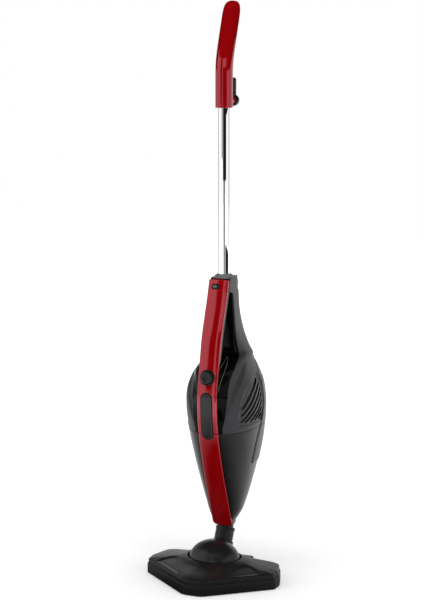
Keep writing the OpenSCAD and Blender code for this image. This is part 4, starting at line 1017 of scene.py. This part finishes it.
outlineNormals = []
for i, p in enumerate(headRef):
    d = (headRef[(i + 1) % len(headRef)] - headRef[i - 1]).normalized()
    outlineNormals.append(Vector((-d.y, d.x)))
bumperProfile = [
    (2.9, 1.1), (1.7, 0.9), (0.6, 1.3), (0.1, 2.4), (0, 5), (0, 12), (0.05, 19.4), (0.35, 21), (1.2, 21.8),
    (2.9, 21.95), (2.95, 21.5), (2.95, 2)
]
rows = [[(p.x + m.x * d, p.y + m.y * d, z) for p, m in zip(headRef, outlineNormals)] for d, z in bumperProfile]
bumper = piece("head_bumper", loopSkin(rows, True), "headGrey", "head", "black_matte", ["head_base"])
headSlots(bumper, [((-38, -9, -5), (38, 9, 90))])
settle(bumper, 35)
print("bumper made")

coverRings = [
    (0.972, 22.4), (0.969, 26), (0.968, 29), (0.962, 30.4), (0.945, 31.4), (0.86, 33.6), (0.7, 36.2),
    (0.5, 38.4), (0.3, 41), (0.12, 44.6), (0.03, 46.0), (0, 46.2)
]
coverT = [0.0]
for a, b in zip(coverRings, coverRings[1:]):
    coverT.append(coverT[-1] + math.hypot((a[0] - b[0]) * 70, a[1] - b[1]))
coverK = flowing([(t, r[0]) for t, r in zip(coverT, coverRings)])
coverZ = flowing([(t, r[1]) for t, r in zip(coverT, coverRings)])
coverLook = {"rows": 72, "recess": 2.4, "soft": 5.0}
wingRecess = [
    (36, -152), (41.8, -143.2), (49.2, -126.5), (57.7, -102), (67.4, -80.1), (76, -70.3), (88.6, -71.2),
    (102.6, -81.3), (110.5, -91.5), (113, -100)
]


def coverShape(x, y):  # how far the top dips or rises at a place
    x = abs(x)
    best, inside = 1e9, False
    for k, (a, b) in enumerate(zip(wingRecess, wingRecess[1:] + wingRecess[:1])):
        dx, dy = b[0] - a[0], b[1] - a[1]
        t = max(0.0, min(1.0, ((x - a[0]) * dx + (y - a[1]) * dy) / (dx * dx + dy * dy)))
        if k < len(wingRecess) - 1:
            best = min(best, math.hypot(x - a[0] - t * dx, y - a[1] - t * dy))
        if (a[1] > y) != (b[1] > y) and x < a[0] + (y - a[1]) / dy * dx:
            inside = not inside
    dip = stepTo(best if inside else -best, coverLook["soft"])
    edge = insetDepth(x, y)
    return -coverLook["recess"] * dip * stepTo(edge - 9, 8)


def insetDepth(x, y):  # distance in from the front edge line of the head
    (ax, ay), (bx, by) = headPoints[1:3]
    return ((bx - ax) * (y - ay) - (by - ay) * (x - ax)) / math.hypot(bx - ax, by - ay)


def coverRow(t, drop=0.0, inward=0.0):
    row = []
    for p in headRef:
        a = math.atan2((p.y - headLook["middle"]) / headLook["apertureY"], p.x / headLook["apertureX"])
        e = Vector((headLook["apertureX"] * math.cos(a), headLook["middle"] + headLook["apertureY"] * math.sin(a)))
        q = e + (p - e) * coverK(t)
        z = coverZ(t)
        if z > 29:
            z += coverShape(q.x, q.y)
        row.append((q.x - inward * math.cos(a), q.y - inward * math.sin(a), z - drop))
    return row


end = coverT[-1]
rows = [coverRow(end * (j / coverLook["rows"])) for j in range(coverLook["rows"] + 1)]
rows += [coverRow(end, 2.4), coverRow(end * 0.9, 2.5), coverRow(end * 0.6, 2.5), coverRow(end * 0.2, 2.5, 1.8),
    coverRow(0, 0, 2.4)]
cover = piece("head_top", loopSkin(rows, True), "headGrey", "head", "black_matte", ["head_cover"])
headSlots(cover, [])
settle(cover, 35)
print("head cover made")

# wheels
wheelLook = {"x": 44, "y": 14, "z": 13, "radius": 13, "width": 13, "bore": 2.6}
half = wheelLook["width"] / 2
tread, bore = wheelLook["radius"], wheelLook["bore"]
wheelProfile = [
    (bore, -half), (9, -half), (9.6, -half + 1), (11, -half), (tread - 0.6, -half), (tread, -half + 1.2),
    (tread, -1.2), (tread - 0.7, -0.6), (tread - 0.7, 0.6), (tread, 1.2), (tread, half - 1.2),
    (tread - 0.6, half), (8.2, half), (7.5, half - 1.9), (bore, half - 1.9), (bore, -half)
]
for s, side in ((1, "right"), (-1, "left")):
    turn = frameAt(at(s * wheelLook["x"], wheelLook["y"], wheelLook["z"]), s * math.pi / 2, "Y")
    lathe("wheel_tyre_" + side, wheelProfile, (72, 0.4, 50, turn), "rubber", side + "_wheel", "rubber_black",
        ["wheel_" + side])
print("wheels made")

# floor, world and lights
scene.view_settings.view_transform = "Standard"
floorLook = {"half": 6.0, "shade": 0.8, "glowNear": 0.3, "glowFar": 0.9, "near": 0.14, "far": 1.4}


def seenRays(tree, plain, seen):  # one level for the lens, gloss and glass, another for the rest
    rays = node(tree, "ShaderNodeLightPath")
    first = node(tree, "ShaderNodeMath", operation="MAXIMUM")
    second = node(tree, "ShaderNodeMath", operation="MAXIMUM")
    level = node(tree, "ShaderNodeMapRange", **{"To Min": plain, "To Max": seen})
    wire(tree, rays.outputs["Is Camera Ray"], first.inputs[0], rays.outputs["Is Glossy Ray"], first.inputs[1],
         first.outputs[0], second.inputs[0], rays.outputs["Is Transmission Ray"], second.inputs[1],
         second.outputs[0], level.inputs["Value"])
    return level.outputs["Result"]


def byDistance(tree, middle, near, far, low, high):  # a value that goes from low to high with distance
    place = node(tree, "ShaderNodeTexCoord")
    away = node(tree, "ShaderNodeVectorMath", operation="DISTANCE")
    away.inputs[1].default_value = middle
    ramp = node(tree, "ShaderNodeMapRange", **{"From Min": near, "From Max": far, "To Min": low, "To Max": high})
    wire(tree, place.outputs["Object"], away.inputs[0], away.outputs["Value"], ramp.inputs["Value"])
    return ramp.outputs["Result"]


bm = bmesh.new()
bmesh.ops.create_grid(bm, x_segments=2, y_segments=2, size=floorLook["half"])
floor = linked("floor", bm)
floorMat, tree, bsdf = shader("floorWhite")
bsdf.inputs["Base Color"].default_value = (floorLook["shade"],) * 3 + (1,)
bsdf.inputs["Roughness"].default_value = 0.9
bsdf.inputs["Specular IOR Level"].default_value = 0.1
glow = node(tree, "ShaderNodeEmission")
level = node(tree, "ShaderNodeMath", operation="MULTIPLY")
rise = byDistance(tree, (0, 0, 0), floorLook["near"], floorLook["far"], floorLook["glowNear"], floorLook["glowFar"])
adder = node(tree, "ShaderNodeAddShader")
wire(tree, rise, level.inputs[0], seenRays(tree, 0.0, 1.0), level.inputs[1],
     level.outputs[0], glow.inputs["Strength"], bsdf.outputs[0], adder.inputs[0],
     glow.outputs[0], adder.inputs[1], adder.outputs[0], tree.nodes["Material Output"].inputs["Surface"])
floor.data.materials.append(floorMat)

worldLevel = {"plain": 0.55, "seen": 1.0}
world = bpy.data.worlds.new("studio")
scene.world = world
world.use_nodes = True
tree = world.node_tree
back = tree.nodes["Background"]
tree.links.new(seenRays(tree, worldLevel["plain"], worldLevel["seen"]), back.inputs["Strength"])
back.inputs["Color"].default_value = (1, 1, 1, 1)

lightLook = {
    "keyLeft": {"place": (-1.7, -1.6, 1.5), "size": (1.0, 2.4), "power": 12},
    "keyRight": {"place": (1.9, -1.0, 1.3), "size": (0.8, 2.0), "power": 12},
    "top": {"place": (0.1, -0.4, 2.9), "size": (1.4, 1.4), "power": 16},
}
for name, look in lightLook.items():
    data = bpy.data.lights.new(name, "AREA")
    data.shape, data.energy = "RECTANGLE", look["power"]
    data.size, data.size_y = look["size"]
    lamp = bpy.data.objects.new(name, data)
    scene.collection.objects.link(lamp)
    place = Vector(look["place"])
    lamp.location = place
    lamp.rotation_euler = (Vector((0, axisY / 1000, 0.6)) - place).to_track_quat("-Z", "Y").to_euler()
    lamp.visible_glossy = False

# flags that only reflections see: azimuths in degrees from the front, towards +X
flagLook = {
    "flagTube": {"from": 10, "to": 36, "low": 0.0, "high": 0.705, "tone": 0.05},
    "flagHandle": {"from": 0, "to": 62, "low": 0.705, "high": 1.3, "tone": 0.01},
    "flagStrip": {"from": -24, "to": -8, "low": 0.8, "high": 3.3, "radius": 4.0, "tone": 0.0},
    "flagLeft": {"from": -140, "to": -92, "low": 0.0, "high": 1.05, "tone": 0.5},
    "flagRight": {"from": 112, "to": 146, "low": 0.38, "high": 1.05, "tone": 0.55},
    "flagHighRight": {"from": 46, "to": 165, "low": 1.07, "high": 1.78, "tone": 0.01},
    "flagHighLeft": {"from": -195, "to": -75, "low": 1.07, "high": 1.78, "tone": 0.01},
    "flagLow": {"from": 43, "to": 112, "low": 0.1, "high": 0.33, "tone": 0.02},
}
flagRadius = 1.5
ceilingLook = {"radius": 1.55, "z": 1.78, "tone": 0.01}
shadeLook = {"radius": 0.7, "y": -0.2, "z": 0.0004, "near": 0.14, "far": 0.5}


def flag(name, bm, tone):
    obj = linked(name, bm)
    mat, tree, bsdf = shader(name)
    light = node(tree, "ShaderNodeEmission", Strength=tone)
    tree.links.new(light.outputs[0], tree.nodes["Material Output"].inputs["Surface"])
    obj.data.materials.append(mat)
    for sight in ("camera", "diffuse", "transmission", "shadow", "volume_scatter"):
        setattr(obj, "visible_" + sight, False)
    obj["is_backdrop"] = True
    return tree, light


for name, f in flagLook.items():
    away = f.get("radius", flagRadius)
    bm = bmesh.new()
    bmesh.ops.create_grid(bm, x_segments=24, y_segments=1, size=0.5)
    for v in bm.verts:
        turn = math.radians(f["from"] + (f["to"] - f["from"]) * (v.co.x + 0.5))
        height = f["low"] + (f["high"] - f["low"]) * (v.co.y + 0.5)
        v.co = Vector((away * math.sin(turn), axisY / 1000 - away * math.cos(turn), height))
    flag(name, bm, f["tone"])
bm = bmesh.new()
bmesh.ops.create_circle(bm, cap_ends=True, segments=64, radius=ceilingLook["radius"])
bmesh.ops.translate(bm, vec=(0, axisY / 1000, ceilingLook["z"]), verts=bm.verts)
flag("flagCeiling", bm, ceilingLook["tone"])
bm = bmesh.new()
bmesh.ops.create_circle(bm, cap_ends=True, segments=64, radius=shadeLook["radius"])
bmesh.ops.translate(bm, vec=(0, shadeLook["y"], shadeLook["z"]), verts=bm.verts)
tree, light = flag("flagFloor", bm, 0.0)
dim = byDistance(tree, (0, shadeLook["y"], 0), shadeLook["near"], shadeLook["far"], 0.0, 1.0)
tree.links.new(dim, light.inputs["Strength"])
print("floor and lights made")

# camera
cameraLook = {"x": 1115.3, "y": -2760.4, "z": 1029.3, "turn": 22.0, "down": 8.9, "lens": 90.12, "shiftX": -0.0202}
data = bpy.data.cameras.new("camera")
camera = bpy.data.objects.new("camera", data)
scene.collection.objects.link(camera)
camera.location = at(cameraLook["x"], cameraLook["y"], cameraLook["z"])
camera.rotation_euler = (math.radians(90 - cameraLook["down"]), 0, math.radians(cameraLook["turn"]))
data.sensor_width, data.lens, data.shift_x = 36, cameraLook["lens"], cameraLook["shiftX"]
data.clip_end = 60
scene.camera = camera

floor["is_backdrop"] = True
low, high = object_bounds()
{"cad": [list(cadLow), list(cadHigh)], "dressed": [list(low), list(high)]}
